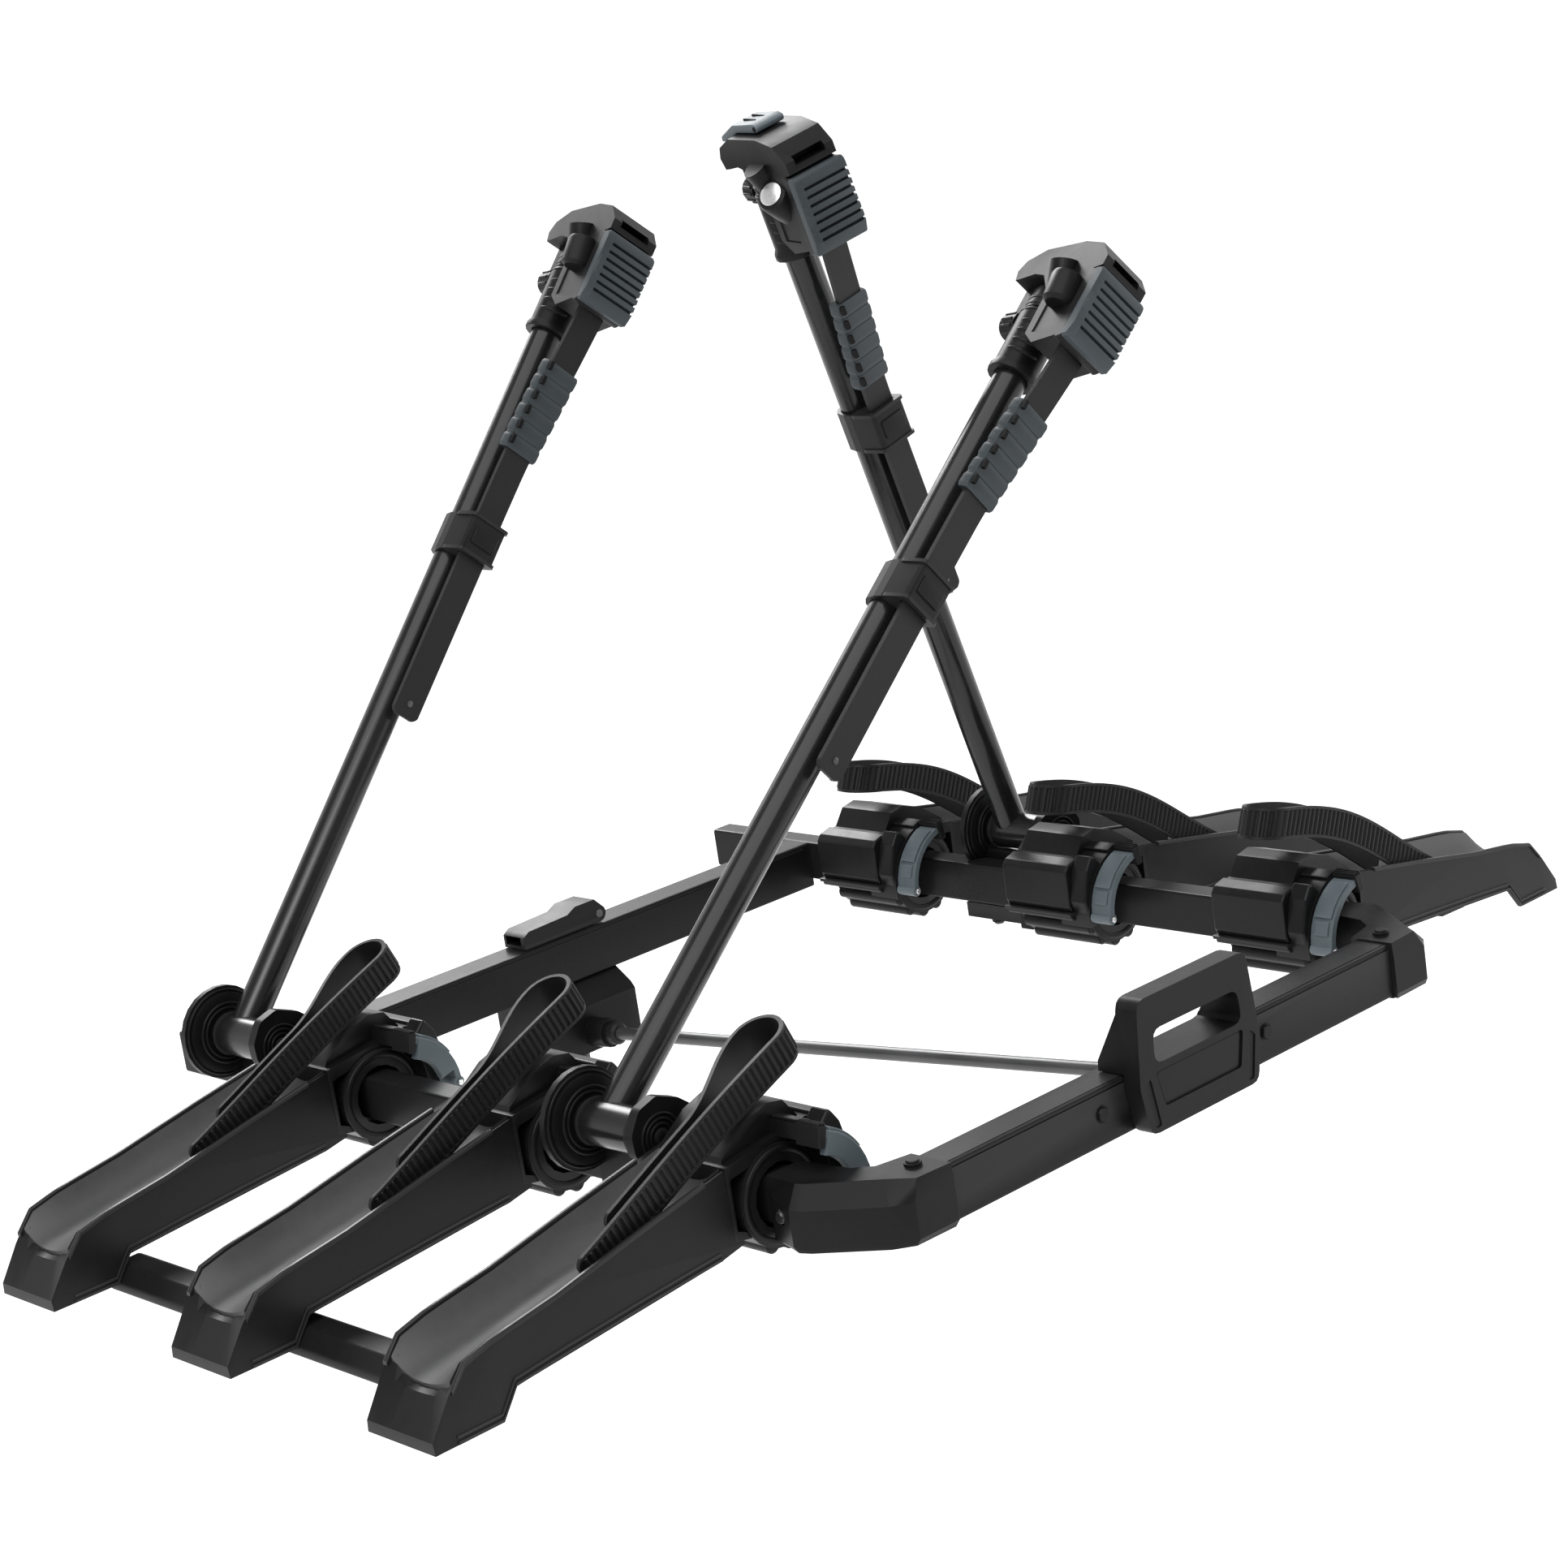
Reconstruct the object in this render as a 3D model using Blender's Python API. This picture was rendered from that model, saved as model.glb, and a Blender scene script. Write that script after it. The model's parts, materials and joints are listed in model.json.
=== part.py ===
"""Three-bike carrier that clamps on a tow ball, as separate pieces at their real size.

The frame stands +Z up, +Y points to the car and X runs across it. The origin is the centre of the tow ball.
Lengths below are millimetres; mesh_object() turns them into metres. "out" is the distance from the middle
plane X = 0, so one description serves the left side (side = -1) and the right side (side = +1).
"""

import math

import bmesh
import bpy
from mathutils import Matrix, Vector

MM = 0.001
GAP = 0.35  # air between pieces that touch on the real carrier

# Main frame
BEAM_TOP = 130
SIDE_OUT, SIDE_WIDTH, SIDE_HEIGHT = 289.5, 22, 34
SIDE_Y = (-612.6, 79)
CROSS_HEIGHT = 40
FRONT_Y = (-47, -16)
REAR_Y = (-707, -677)
SEAM_OUT = 231.5  # where a corner casting meets the rear beam
HUB_Z = BEAM_TOP - SIDE_HEIGHT / 2

# What repeats along the side beams
PITCH = 217.5
TRAY_Y = [-139.5 - PITCH * i for i in range(3)]
ARM_Y = [-44 - PITCH * i for i in range(3)]

# Tow-ball coupler and tilt hinge
BALL_RADIUS = 25
TILT_Y, TILT_Z = -34, 40
KNUCKLE_RADIUS, PIN_RADIUS = 10, 5

# Release rod from the carry handle to the latch
ROD_RADIUS = 5.2
ROD_FRONT = Vector((0, -81, 51))
ROD_REAR = Vector((0, -631, 102))
ROD_DIRECTION = (ROD_REAR - ROD_FRONT).normalized()

# Bike arms: side of the frame, lean from vertical (degrees), heights of the collar top, the keeper's foot and the
# strap's loose end above the pivot, and how far the head is swivelled on the tube (degrees)
ARM_PIVOT_OUT, ARM_PIVOT_Z = 318, 150
ARMS = [
    {"side": -1, "lean": 40.8, "collar": 669, "keeper": 411, "tail": 272, "swivel": -8},
    {"side": 1, "lean": -16.4, "collar": 586, "keeper": 366, "tail": 230, "swivel": -14},
    {"side": -1, "lean": 49.1, "collar": 682, "keeper": 420, "tail": 282, "swivel": -8},
]
TUBE_RADIUS, TUBE_BORE = 13, 10.9
INNER_RADIUS, INNER_BORE = 10.5, 8.5
COLLAR_LENGTH = 56
STRAP_END_DROP = 47
RATCHET_HINGE_Y, RATCHET_HINGE_RISE = -26, 53
KEEPER_LENGTH = 32
BARREL_RADIUS, BARREL_Y = 16, (-43.5, 17.5)
NEAR_PLATE_Y, FAR_FLANGE_Y = (-53, -45), (19, 29)

# The clamp head seen from the side, as (y, height above the collar)
HEAD_SIDE_VIEW = [
    (-60.5, -40),
    (-36, -44),
    (-23, -34),
    (-22, 4),
    (-8, 22),
    (4, 25),
    (16, 23),
    (24, 22),
    (27, 31),
    (22, 40),
    (4, 48),
    (-38, 49),
    (-60, 44),
    (-72, 31),
    (-72, 22),
    (-60.5, 20),
]

# Wheel straps: a loop that leans inwards over its tray
LOOP_RISE = math.radians(23.7)
LOOP_RADIUS, LOOP_WIDTH, LOOP_THICK = 18, 24, 3
LOOP_MIDDLE_Y = -6
LOOP_BOW = {-1: 2, 1: 12}  # the loops on the right side arch upwards

SMOOTH_ANGLE = math.radians(35)


# ---------------------------------------------------------------- shapes


def skin(loops, closed=False):
    """A closed surface over loops of points; end loops are capped unless the loops run in a ring."""
    mesh = bmesh.new()
    rows = [[mesh.verts.new(point) for point in loop] for loop in loops]
    pairs = list(zip(rows, rows[1:]))
    if closed:
        pairs.append((rows[-1], rows[0]))
    for first, second in pairs:
        for i in range(len(first)):
            j = (i + 1) % len(first)
            mesh.faces.new((first[i], first[j], second[j], second[i]))
    if not closed:
        mesh.faces.new(rows[0])
        mesh.faces.new(rows[-1])
    bmesh.ops.recalc_face_normals(mesh, faces=mesh.faces)
    return mesh


def prism(outline, axis, low, high):
    """An outline pushed along an axis. It holds (x, y), (x, z) or (y, z), in that order."""
    place = {
        "x": lambda u, v, h: (h, u, v),
        "y": lambda u, v, h: (u, h, v),
        "z": lambda u, v, h: (u, v, h),
    }[axis]
    return skin([[place(u, v, h) for u, v in outline] for h in (low, high)])


def rounded(outline, radius, steps=3):
    """The outline with each corner turned into an arc."""
    points = []
    for i, corner in enumerate(outline):
        here = Vector(corner)
        before = Vector(outline[i - 1]) - here
        after = Vector(outline[(i + 1) % len(outline)]) - here
        half = before.angle(after) / 2
        reach = min(radius / math.tan(half), before.length * 0.45, after.length * 0.45)
        start = here + before.normalized() * reach
        end = here + after.normalized() * reach
        for k in range(steps + 1):
            t = k / steps
            points.append(tuple(start * (1 - t) ** 2 + here * 2 * t * (1 - t) + end * t**2))
    return points


def rectangle(u0, u1, v0, v1):
    return [(u0, v0), (u1, v0), (u1, v1), (u0, v1)]


def box(x, y, z):
    return prism(rectangle(*x, *y), "z", *z)


def circle(radius, steps, centre=(0, 0), start=0.0, sweep=360.0):
    """Points on a circle, or on an arc of it with both ends."""
    whole = abs(sweep) >= 360
    turns = [math.radians(start + sweep * i / (steps if whole else steps - 1)) for i in range(steps)]
    return [(centre[0] + radius * math.cos(t), centre[1] + radius * math.sin(t)) for t in turns]


def sector(inner, outer, start, end, centre, steps=9):
    """A curved strip between two radii."""
    return circle(outer, steps, centre, start, end - start) + circle(inner, steps, centre, end, start - end)


def turned(profile, start, direction, steps=20, closed=False):
    """(radius, height) points turned about the line from start along direction."""
    direction = Vector(direction).normalized()
    side = direction.orthogonal().normalized()
    other = direction.cross(side)
    loops = []
    for radius, height in profile:
        ring = circle(radius, steps)
        loops.append([Vector(start) + direction * height + side * u + other * v for u, v in ring])
    return skin(loops, closed)


def rod(radius, start, end, steps=16):
    start, end = Vector(start), Vector(end)
    return turned([(radius, 0), (radius, (end - start).length)], start, end - start, steps)


def y_rod(radius, out, z, y, steps=24):
    return rod(radius, (out, y[0], z), (out, y[1], z), steps)


def strip(path, width_direction, width, thick):
    """A flat band along a path, its width in one fixed direction."""
    across = Vector(width_direction).normalized()
    loops = []
    for i, point in enumerate(path):
        forward = Vector(path[min(i + 1, len(path) - 1)]) - Vector(path[max(i - 1, 0)])
        normal = forward.cross(across).normalized()
        corners = ((-1, -1), (1, -1), (1, 1), (-1, 1))
        loops.append([Vector(point) + across * (width / 2 * a) + normal * (thick / 2 * b) for a, b in corners])
    return skin(loops)


# ---------------------------------------------------------------- objects


def material(name, colour, roughness, metallic=0.0):
    made = bpy.data.materials.new(name)
    made.use_nodes = True
    shader = made.node_tree.nodes["Principled BSDF"]
    shader.inputs["Base Color"].default_value = (*colour, 1)
    shader.inputs["Roughness"].default_value = roughness
    shader.inputs["Metallic"].default_value = metallic
    return made


def mesh_object(name, mesh, side=1, shift=(0, 0, 0)):
    """A Blender object in metres from a bmesh in millimetres, mirrored to the left if side is -1."""
    bmesh.ops.translate(mesh, verts=mesh.verts, vec=shift)
    bmesh.ops.scale(mesh, verts=mesh.verts, vec=(MM * side, MM, MM))
    bmesh.ops.recalc_face_normals(mesh, faces=mesh.faces)
    data = bpy.data.meshes.new(name)
    mesh.to_mesh(data)
    mesh.free()
    made = bpy.data.objects.new(name, data)
    bpy.context.scene.collection.objects.link(made)
    return made


def shaped(name, finish, base, steps, side=1, shift=(0, 0, 0)):
    """An object cut and joined step by step: steps hold ("cut" or "join", bmesh)."""
    made = mesh_object(name, base, side, shift)
    tools = []
    for what, mesh in steps:
        tool = mesh_object("tool", mesh, side, shift)
        modifier = made.modifiers.new(what, "BOOLEAN")
        modifier.operation = "DIFFERENCE" if what == "cut" else "UNION"
        modifier.object = tool
        tools.append(tool)
    if tools:
        bpy.context.view_layer.update()
        graph = bpy.context.evaluated_depsgraph_get()
        made.data = bpy.data.meshes.new_from_object(made.evaluated_get(graph))
        made.modifiers.clear()
        for tool in tools:
            bpy.data.objects.remove(tool)
    made.data.name = name
    made.data.materials.clear()
    made.data.materials.append(finish)
    made.data.shade_smooth()
    made.data.set_sharp_from_angle(angle=SMOOTH_ANGLE)
    return made


def set_origin(made, point):
    """Moves an object's origin to a joint's axis without moving its shape."""
    offset = Vector(point) * MM
    made.data.transform(Matrix.Translation(-offset))
    made.location = offset


def copy_of(source, name, y_shift):
    made = bpy.data.objects.new(name, source.data.copy())
    made.location = source.location + Vector((0, y_shift * MM, 0))
    bpy.context.scene.collection.objects.link(made)
    return made


# ---------------------------------------------------------------- frame


def beam_outline(width, height):
    low = BEAM_TOP - height
    return rounded([(width[0], low), (width[1], low), (width[1], BEAM_TOP), (width[0], BEAM_TOP)], 2.5, 2)


def front_beam(finish):
    end = SIDE_OUT - SIDE_WIDTH / 2 - GAP
    return shaped("front_beam", finish, prism(beam_outline(FRONT_Y, CROSS_HEIGHT), "x", -end, end), [])


def rear_beam(finish):
    """The rear cross beam, bored for the release rod."""
    end = SEAM_OUT - GAP
    hole = rod(ROD_RADIUS + 2, ROD_REAR - ROD_DIRECTION * 5, ROD_REAR + ROD_DIRECTION * 100)
    return shaped("rear_beam", finish, prism(beam_outline(REAR_Y, CROSS_HEIGHT), "x", -end, end), [("cut", hole)])


def side_beam(name, side, finish):
    """A side beam with a shallow plugged recess at the end that points to the car."""
    width = (SIDE_OUT - SIDE_WIDTH / 2, SIDE_OUT + SIDE_WIDTH / 2)
    recess = box(
        (width[0] + 3, width[1] - 3),
        (SIDE_Y[1] - 4, SIDE_Y[1] + 5),
        (BEAM_TOP - SIDE_HEIGHT + 3, BEAM_TOP - 3),
    )
    body = prism(beam_outline(width, SIDE_HEIGHT), "y", *SIDE_Y)
    return shaped(name, finish, body, [("cut", recess)], side)


def corner_casting(name, side, finish):
    """The cast corner: a bent box that bulges outwards, with a wide slope along its top outer edge."""
    seam_y = SIDE_Y[0] - GAP
    inner_out = 274
    lower = [
        (inner_out, seam_y),
        (303, seam_y),
        (316, seam_y - 32),
        (313, seam_y - 41),
        (281, seam_y - 88),
        (268, seam_y - 98),
        (SEAM_OUT, seam_y - 98),
        (SEAM_OUT, -674),
        (258, -668),
        (268, -655),
    ]
    upper = [
        (inner_out, seam_y),
        (302, seam_y),
        (304, seam_y - 28),
        (301, seam_y - 35),
        (272, seam_y - 77),
        (261, seam_y - 95),
        (SEAM_OUT, seam_y - 97),
        (SEAM_OUT, -674),
        (258, -668),
        (268, -655),
    ]
    middle = Vector((285, seam_y - 50))
    foot = [tuple(Vector(p) + (middle - Vector(p)).normalized() * 3) for p in lower]
    foot[0], foot[1] = lower[0], lower[1]
    levels = ((foot, 88.5), (lower, 93), (lower, 118), (upper, 131.5))
    body = skin([[(u, y, z) for u, y in outline] for outline, z in levels])
    socket = rod(5.5, (330, seam_y - 18, 109), (307.5, seam_y - 18, 109), 12)
    bolt = rod(3.5, (313, seam_y - 18, 109), (300, seam_y - 18, 109), 6)
    top_bolt = rod(6, (246, -690, 128), (246, -690, 134), 12)
    return shaped(name, finish, body, [("cut", socket), ("join", bolt), ("join", top_bolt)], side)


def latch_housing(finish):
    """The part of the coupling that tilts with the frame: a hollow block under the front beam."""
    rear, front = -64, TILT_Y - GAP * 2
    top = BEAM_TOP - CROSS_HEIGHT - GAP
    profile = [(front, TILT_Z), (front, top), (-43, top), (rear + 4, 78), (rear, 73), (rear, TILT_Z - 6)]
    body = prism(profile, "x", -48, 48)
    hollow = box((-42, 42), (-58, 0), (TILT_Z - 20, 68))
    collar_end = ROD_FRONT + ROD_DIRECTION * 4
    collar = rod(12, ROD_FRONT - ROD_DIRECTION * 22, collar_end)
    lip = rod(9.5, ROD_FRONT - ROD_DIRECTION * 10, ROD_FRONT + ROD_DIRECTION * 8)
    hole = rod(ROD_RADIUS + 1, ROD_FRONT - ROD_DIRECTION * 40, ROD_FRONT + ROD_DIRECTION * 20)
    steps = [("cut", hollow), ("join", collar), ("join", lip)]
    for end in (-1, 1):
        inner, outer = 21 * end, 40 * end
        steps.append(("join", rod(KNUCKLE_RADIUS, (inner, TILT_Y, TILT_Z), (outer, TILT_Y, TILT_Z))))
        web = box(sorted((inner, outer)), (-62, TILT_Y - 4), (TILT_Z - 6, TILT_Z + 6))
        steps.append(("join", web))
    steps.append(("cut", rod(PIN_RADIUS + GAP, (-60, TILT_Y, TILT_Z), (60, TILT_Y, TILT_Z))))
    steps.append(("cut", hole))
    steps.append(("cut", rod(13, ROD_FRONT - ROD_DIRECTION * 45, ROD_FRONT - ROD_DIRECTION * 21.5)))
    return shaped("latch_housing", finish, body, steps)


# ---------------------------------------------------------------- coupler


def coupler_body(finish):
    """The fixed half of the coupling: a ball cup below, and the middle hinge knuckle at the rear."""
    rear = TILT_Y + GAP * 2
    body = prism([(rear, 54), (rear, 88), (-4, 88), (3, 80), (3, 20), (-22.5, 20), (-22.5, 54)], "x", -47, 47)
    cup = rod(31, (0, 0, -18), (0, 0, 36), 24)
    middle = box((-20, 20), (rear + 4, 10), (TILT_Z - 8, 70))
    knuckle = rod(KNUCKLE_RADIUS, (-20, TILT_Y, TILT_Z), (20, TILT_Y, TILT_Z))
    web = box((-20, 20), (TILT_Y - 2, -15), (TILT_Z - 9, TILT_Z + 8))
    pin_bore = rod(PIN_RADIUS + GAP, (-60, TILT_Y, TILT_Z), (60, TILT_Y, TILT_Z))
    dome = circle(BALL_RADIUS + 0.4, 7, (0, 0), 0, 86)
    socket = turned([(BALL_RADIUS + 0.8, -40), (BALL_RADIUS + 0.8, -6)] + dome, (0, 0, 0), (0, 0, 1), 20)
    steps = [("join", cup), ("join", middle), ("join", web), ("join", knuckle), ("cut", pin_bore), ("cut", socket)]
    return shaped("coupler_body", finish, body, steps)


def tilt_pivot_pin(finish):
    """The hinge pin, held between the housing's side walls."""
    profile = [(PIN_RADIUS - 1, -41.5), (PIN_RADIUS, -40.5), (PIN_RADIUS, 40.5), (PIN_RADIUS - 1, 41.5)]
    return shaped("tilt_pivot_pin", finish, turned(profile, (0, TILT_Y, TILT_Z), (1, 0, 0), 16), [])


def clamp_lever(finish):
    """The clamp lever on the front beam, hinged at its right end and hollow where the fingers go."""
    pivot = (39, 138)
    low = BEAM_TOP + 0.6
    end = circle(7.2, 6, pivot, -90, 120)
    outline = [(-42, low), *end, (36, 151), (15, 151), (6, 146.5), (-36, 145), (-42, 141)]
    grip = box((-60, -20), (-39, -20), (133.5, 141))
    pin = rod(2.5, (pivot[0], -60, pivot[1]), (pivot[0], 0, pivot[1]), 10)
    made = shaped("clamp_lever", finish, prism(outline, "y", -44, -17), [("cut", grip), ("cut", pin)])
    set_origin(made, (pivot[0], -30, pivot[1]))
    return made


# ---------------------------------------------------------------- handle and rod


def carry_handle(finish):
    """The handle plate on the rear beam, with a hand hole above the beam."""
    outer = [(-57, 88), (57, 88), (63, 122), (57, 183), (-57, 183), (-63, 122)]
    body = prism(rounded(outer, 9), "y", -722, -685)
    hole = prism(rounded([(-46, 135), (46, 135), (44, 159), (-44, 159)], 8), "y", -740, -640)
    beam_notch = box((-80, 80), (REAR_Y[0] - 0.6, -600), (60, BEAM_TOP + 1))
    panel = prism(rounded([(-40, 104), (40, 104), (46, 130), (-46, 130)], 3), "y", -740, -720.4)
    made = shaped("carry_handle", finish, body, [("cut", beam_notch), ("cut", hole), ("cut", panel)])
    return made


def release_rod(finish):
    start = ROD_FRONT - ROD_DIRECTION * 34
    end = ROD_FRONT + ROD_DIRECTION * ((REAR_Y[0] - ROD_FRONT.y) / ROD_DIRECTION.y)
    return shaped("release_rod", finish, rod(ROD_RADIUS, start, end), [])


def latch_bolt(finish):
    """The wedge on the rod's front end, inside the latch housing."""
    tip = ROD_FRONT - ROD_DIRECTION * 34.9
    profile = [(tip.y, 44), (tip.y + 2, 44), (tip.y + 9, 52), (tip.y + 9, 57), (tip.y + 3, 61), (tip.y, 61)]
    return shaped("latch_bolt", finish, prism(profile, "x", -12, 12), [])


# ---------------------------------------------------------------- trays


TRAY_HALF, TRAY_WALL = 34, 3
FAR_WALL_RISE = 5
HOLLOW_OUT = (331, 578.5)
# out, underside, top of the near wall, bottom of the trough
TRAY_STATIONS = [
    (583.5, 56, 64, 64),
    (567, 56, 87, 84),
    (552, 56, 102, 86.5),
    (531.5, 56, 107.5, 90),
    (517.5, 74, 110, 92),
    (477.5, 78, 116, 99),
    (404.5, 84, 131, 111),
    (345.5, 88, 142, 125),
    (325, 92, 146, 133),
]


def tray_section(out, under, top, trough):
    """One cross-section of a tray: two walls and the curved trough that the tyre stands in."""
    rise = min(FAR_WALL_RISE, (top - trough) * 0.5)
    points = [(-TRAY_HALF, under), (-TRAY_HALF + 1, top)]
    steps = 6
    for i in range(steps + 1):
        t = -1 + 2 * i / steps
        rim = top - 1 + rise * (t + 1) / 2
        points.append(((TRAY_HALF - 4.5) * t, trough + max(rim - trough, 0) * abs(t) ** 2.2))
    points += [(TRAY_HALF - 1, top + rise), (TRAY_HALF, under)]
    return [(out, y, z) for y, z in points]


def tray(name, side, centre_y, finish):
    """A wheel tray with its hub round the side beam, its wheel stop and its buckle carrier."""
    hub = (SIDE_OUT, HUB_Z)
    shell = skin([tray_section(*station) for station in TRAY_STATIONS])
    half = TRAY_HALF - TRAY_WALL
    hollow = []
    for out, under, top, trough in TRAY_STATIONS:
        reach = min(max(out, HOLLOW_OUT[0]), HOLLOW_OUT[1])
        ceiling = max(trough - 3.5, under + 2)
        hollow.append([(reach, -half, 40), (reach, -half, ceiling), (reach, half, ceiling), (reach, half, 40)])
    nose = [(332, 96), (332, 146), (306, 149.5), (259.5, 156), (253.5, 155), (239.5, 122), (250, 110), (300, 90)]
    stop = [(332, 138), (327, 150), (304, 166), (284, 172.5), (270, 170), (256, 152), (262, 140)]
    pocket = [(329, 102), (329, 137), (264, 147.5), (250, 128), (262, 104), (300, 90)]
    carrier = sector(38.5, 49.5, 98, 190, hub)
    steps = [
        ("cut", skin(hollow)),
        ("join", prism(nose, "y", -TRAY_HALF, TRAY_HALF)),
        ("join", prism(stop, "y", -27, 33)),
        ("cut", prism(pocket, "y", -60, -23)),
        ("join", y_rod(35, *hub, (-35.5, 38), 24)),
        ("join", prism(carrier, "y", -51.5, -20)),
        ("cut", y_rod(22.4, *hub, (-80, 80), 16)),
    ]
    made = shaped(name, finish, shell, steps, side, (0, centre_y, 0))
    set_origin(made, (SIDE_OUT * side, centre_y, HUB_Z))
    return made


def link_bar(name, side, finish):
    """The bar under the toes that makes three trays fold as one."""
    outline = [(531, 49.5), (530.5, 56.2), (522, 67), (504, 67.5), (496, 61), (499, 50.5)]
    made = shaped(name, finish, prism(outline, "y", TRAY_Y[2] + 20, TRAY_Y[0] - 20), [], side)
    set_origin(made, (SIDE_OUT * side, TRAY_Y[1], HUB_Z))
    return made


def wheel_strap(name, side, centre_y, bow, finish):
    """A ladder strap threaded as a loop over its tray."""
    start = Vector((424.5, 0, 127))
    along = Vector((-math.cos(LOOP_RISE), 0, math.sin(LOOP_RISE)))
    across = Vector((math.sin(LOOP_RISE), 0, math.cos(LOOP_RISE)))
    turn = 179
    bend = circle(LOOP_RADIUS, 11, (turn, 0), -90, 180)
    near_side = [(u, -LOOP_RADIUS) for u in (36, 64, 92, 121, 150)]
    far_side = [(u, LOOP_RADIUS) for u in (150, 121, 95, 70)]
    route = near_side + bend + far_side
    path = []
    for u, y in route:
        lift = bow * math.sin(math.pi * (u - route[0][0]) / (turn + LOOP_RADIUS - route[0][0]))
        path.append(start + along * u + across * lift + Vector((0, LOOP_MIDDLE_Y + y, 0)))
    made = shaped(name, finish, strip(path, across, LOOP_WIDTH, LOOP_THICK), [], side, (0, centre_y, 0))
    set_origin(made, (SIDE_OUT * side, centre_y, HUB_Z))
    return made


def buckle_lever(name, side, centre_y, finish):
    """The curved lever of a wheel buckle, hinged on a pin at its lower end."""
    hub = (SIDE_OUT, HUB_Z)
    pivot = (SIDE_OUT - 45, HUB_Z)
    body = prism(sector(42.5, 47.5, 104, 177, hub), "y", -72, -52.2)
    barrel = y_rod(4.5, *pivot, (-72, -52.2), 12)
    pin = y_rod(2, *pivot, (-90, -40), 8)
    made = shaped(name, finish, body, [("join", barrel), ("cut", pin)], side, (0, centre_y, 0))
    set_origin(made, (pivot[0] * side, centre_y, pivot[1]))
    return made


# ---------------------------------------------------------------- bike arms


def arm_bracket(name, side, arm_y, finish):
    """The clamp that holds an arm's axle on the side beam."""
    pivot = (ARM_PIVOT_OUT, ARM_PIVOT_Z)
    beam_low = BEAM_TOP - SIDE_HEIGHT
    near, far = NEAR_PLATE_Y, FAR_FLANGE_Y
    grip_y = (near[0], near[0] + 13)
    barrel_room = (BARREL_Y[0] - 1.1, BARREL_Y[1] + 1.1)
    flange = [(25, far[0]), (31, far[0] + 1.5), (31, far[0] + 4), (36, far[0] + 5), (36, far[1])]
    near_outline = [(323, 133), (341, 142), (342, 158), (333, 173), (317, 178), (299, 171), (266, 145), (262, 131)]
    beam_slot = (SIDE_OUT - SIDE_WIDTH / 2 - GAP, SIDE_OUT + SIDE_WIDTH / 2 + GAP)
    steps = [
        ("join", turned(flange, (pivot[0], 0, pivot[1]), (0, 1, 0), 24)),
        ("join", box((279.5, 309.5), (near[0], far[1]), (beam_low - 13, beam_low + 1))),
        ("join", box((270.5, 290), grip_y, (beam_low - 13, beam_low + 1))),
        ("join", box((270.5, 279), grip_y, (beam_low - 12, BEAM_TOP + 6))),
        ("join", prism(rounded(near_outline, 8, 2), "y", *near)),
        ("cut", box(beam_slot, (-80, 60), (beam_low - GAP, BEAM_TOP + GAP))),
        ("cut", box((200, 278.9), (grip_y[1] + 1, 60), (60, BEAM_TOP + 0.7))),
        ("cut", y_rod(BARREL_RADIUS + 1.2, *pivot, barrel_room)),
        ("join", y_rod(7.5, *pivot, (near[1] - 2, far[0] + 2), 20)),
        ("join", rod(6, (294, 8, beam_low - 19), (294, 8, beam_low - 12), 12)),
    ]
    plate = prism(rounded([(301, 84), (309.5, 84), (309.5, 137), (301, 137)], 2, 1), "y", near[0], far[1])
    return shaped(name, finish, plate, steps, side, (0, arm_y, 0))


def arm_tube(name, collar, finish):
    """The outer tube with the barrel that turns on the bracket's axle. It is open at the top."""
    top = collar - 6.3
    body = rod(TUBE_RADIUS, (0, 0, 6), (0, 0, top), 24)
    steps = [
        ("join", y_rod(BARREL_RADIUS, 0, 0, BARREL_Y)),
        ("cut", y_rod(8.2, 0, 0, (-60, 40), 16)),
        ("cut", rod(TUBE_BORE, (0, 0, collar - 340), (0, 0, top + 10), 24)),
    ]
    return shaped(name, finish, body, steps)


def grip_collar(name, collar, finish):
    """The collar that caps the outer tube and guides the inner one."""
    bore = TUBE_RADIUS + GAP
    profile = [(bore, -COLLAR_LENGTH), (19, -COLLAR_LENGTH), (19, -51), (17, -47)]
    profile += [(17, -3), (15.5, 0), (TUBE_BORE, 0), (TUBE_BORE, -6), (bore, -6)]
    return shaped(name, finish, turned(profile, (0, 0, collar), (0, 0, 1), 18, closed=True), [])


def strap_keeper(name, keeper, finish):
    """The clip on the tube that the loose end of the frame strap slides through."""
    outline = [(-17.5, -34), (17.5, -34), (17.5, -8), (16.6, 0), (13, 10.5), (6, 16), (-6, 16), (-13, 10.5)]
    outline += [(-16.6, 0), (-17.5, -8)]
    body = prism(rounded(outline, 4, 2), "z", keeper, keeper + KEEPER_LENGTH)
    tube = rod(TUBE_RADIUS + GAP, (0, 0, keeper - 5), (0, 0, keeper + KEEPER_LENGTH + 5), 24)
    slot = box((-13.4, 13.4), (-30.4, -23.6), (keeper - 5, keeper + KEEPER_LENGTH + 5))
    return shaped(name, finish, body, [("cut", tube), ("cut", slot)])


def inner_tube(name, collar, finish):
    body = rod(INNER_RADIUS, (0, 0, collar - 190), (0, 0, collar + 24), 24)
    bore = rod(INNER_BORE, (0, 0, collar - 200), (0, 0, collar + 40), 16)
    return shaped(name, finish, body, [("cut", bore)])


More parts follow.
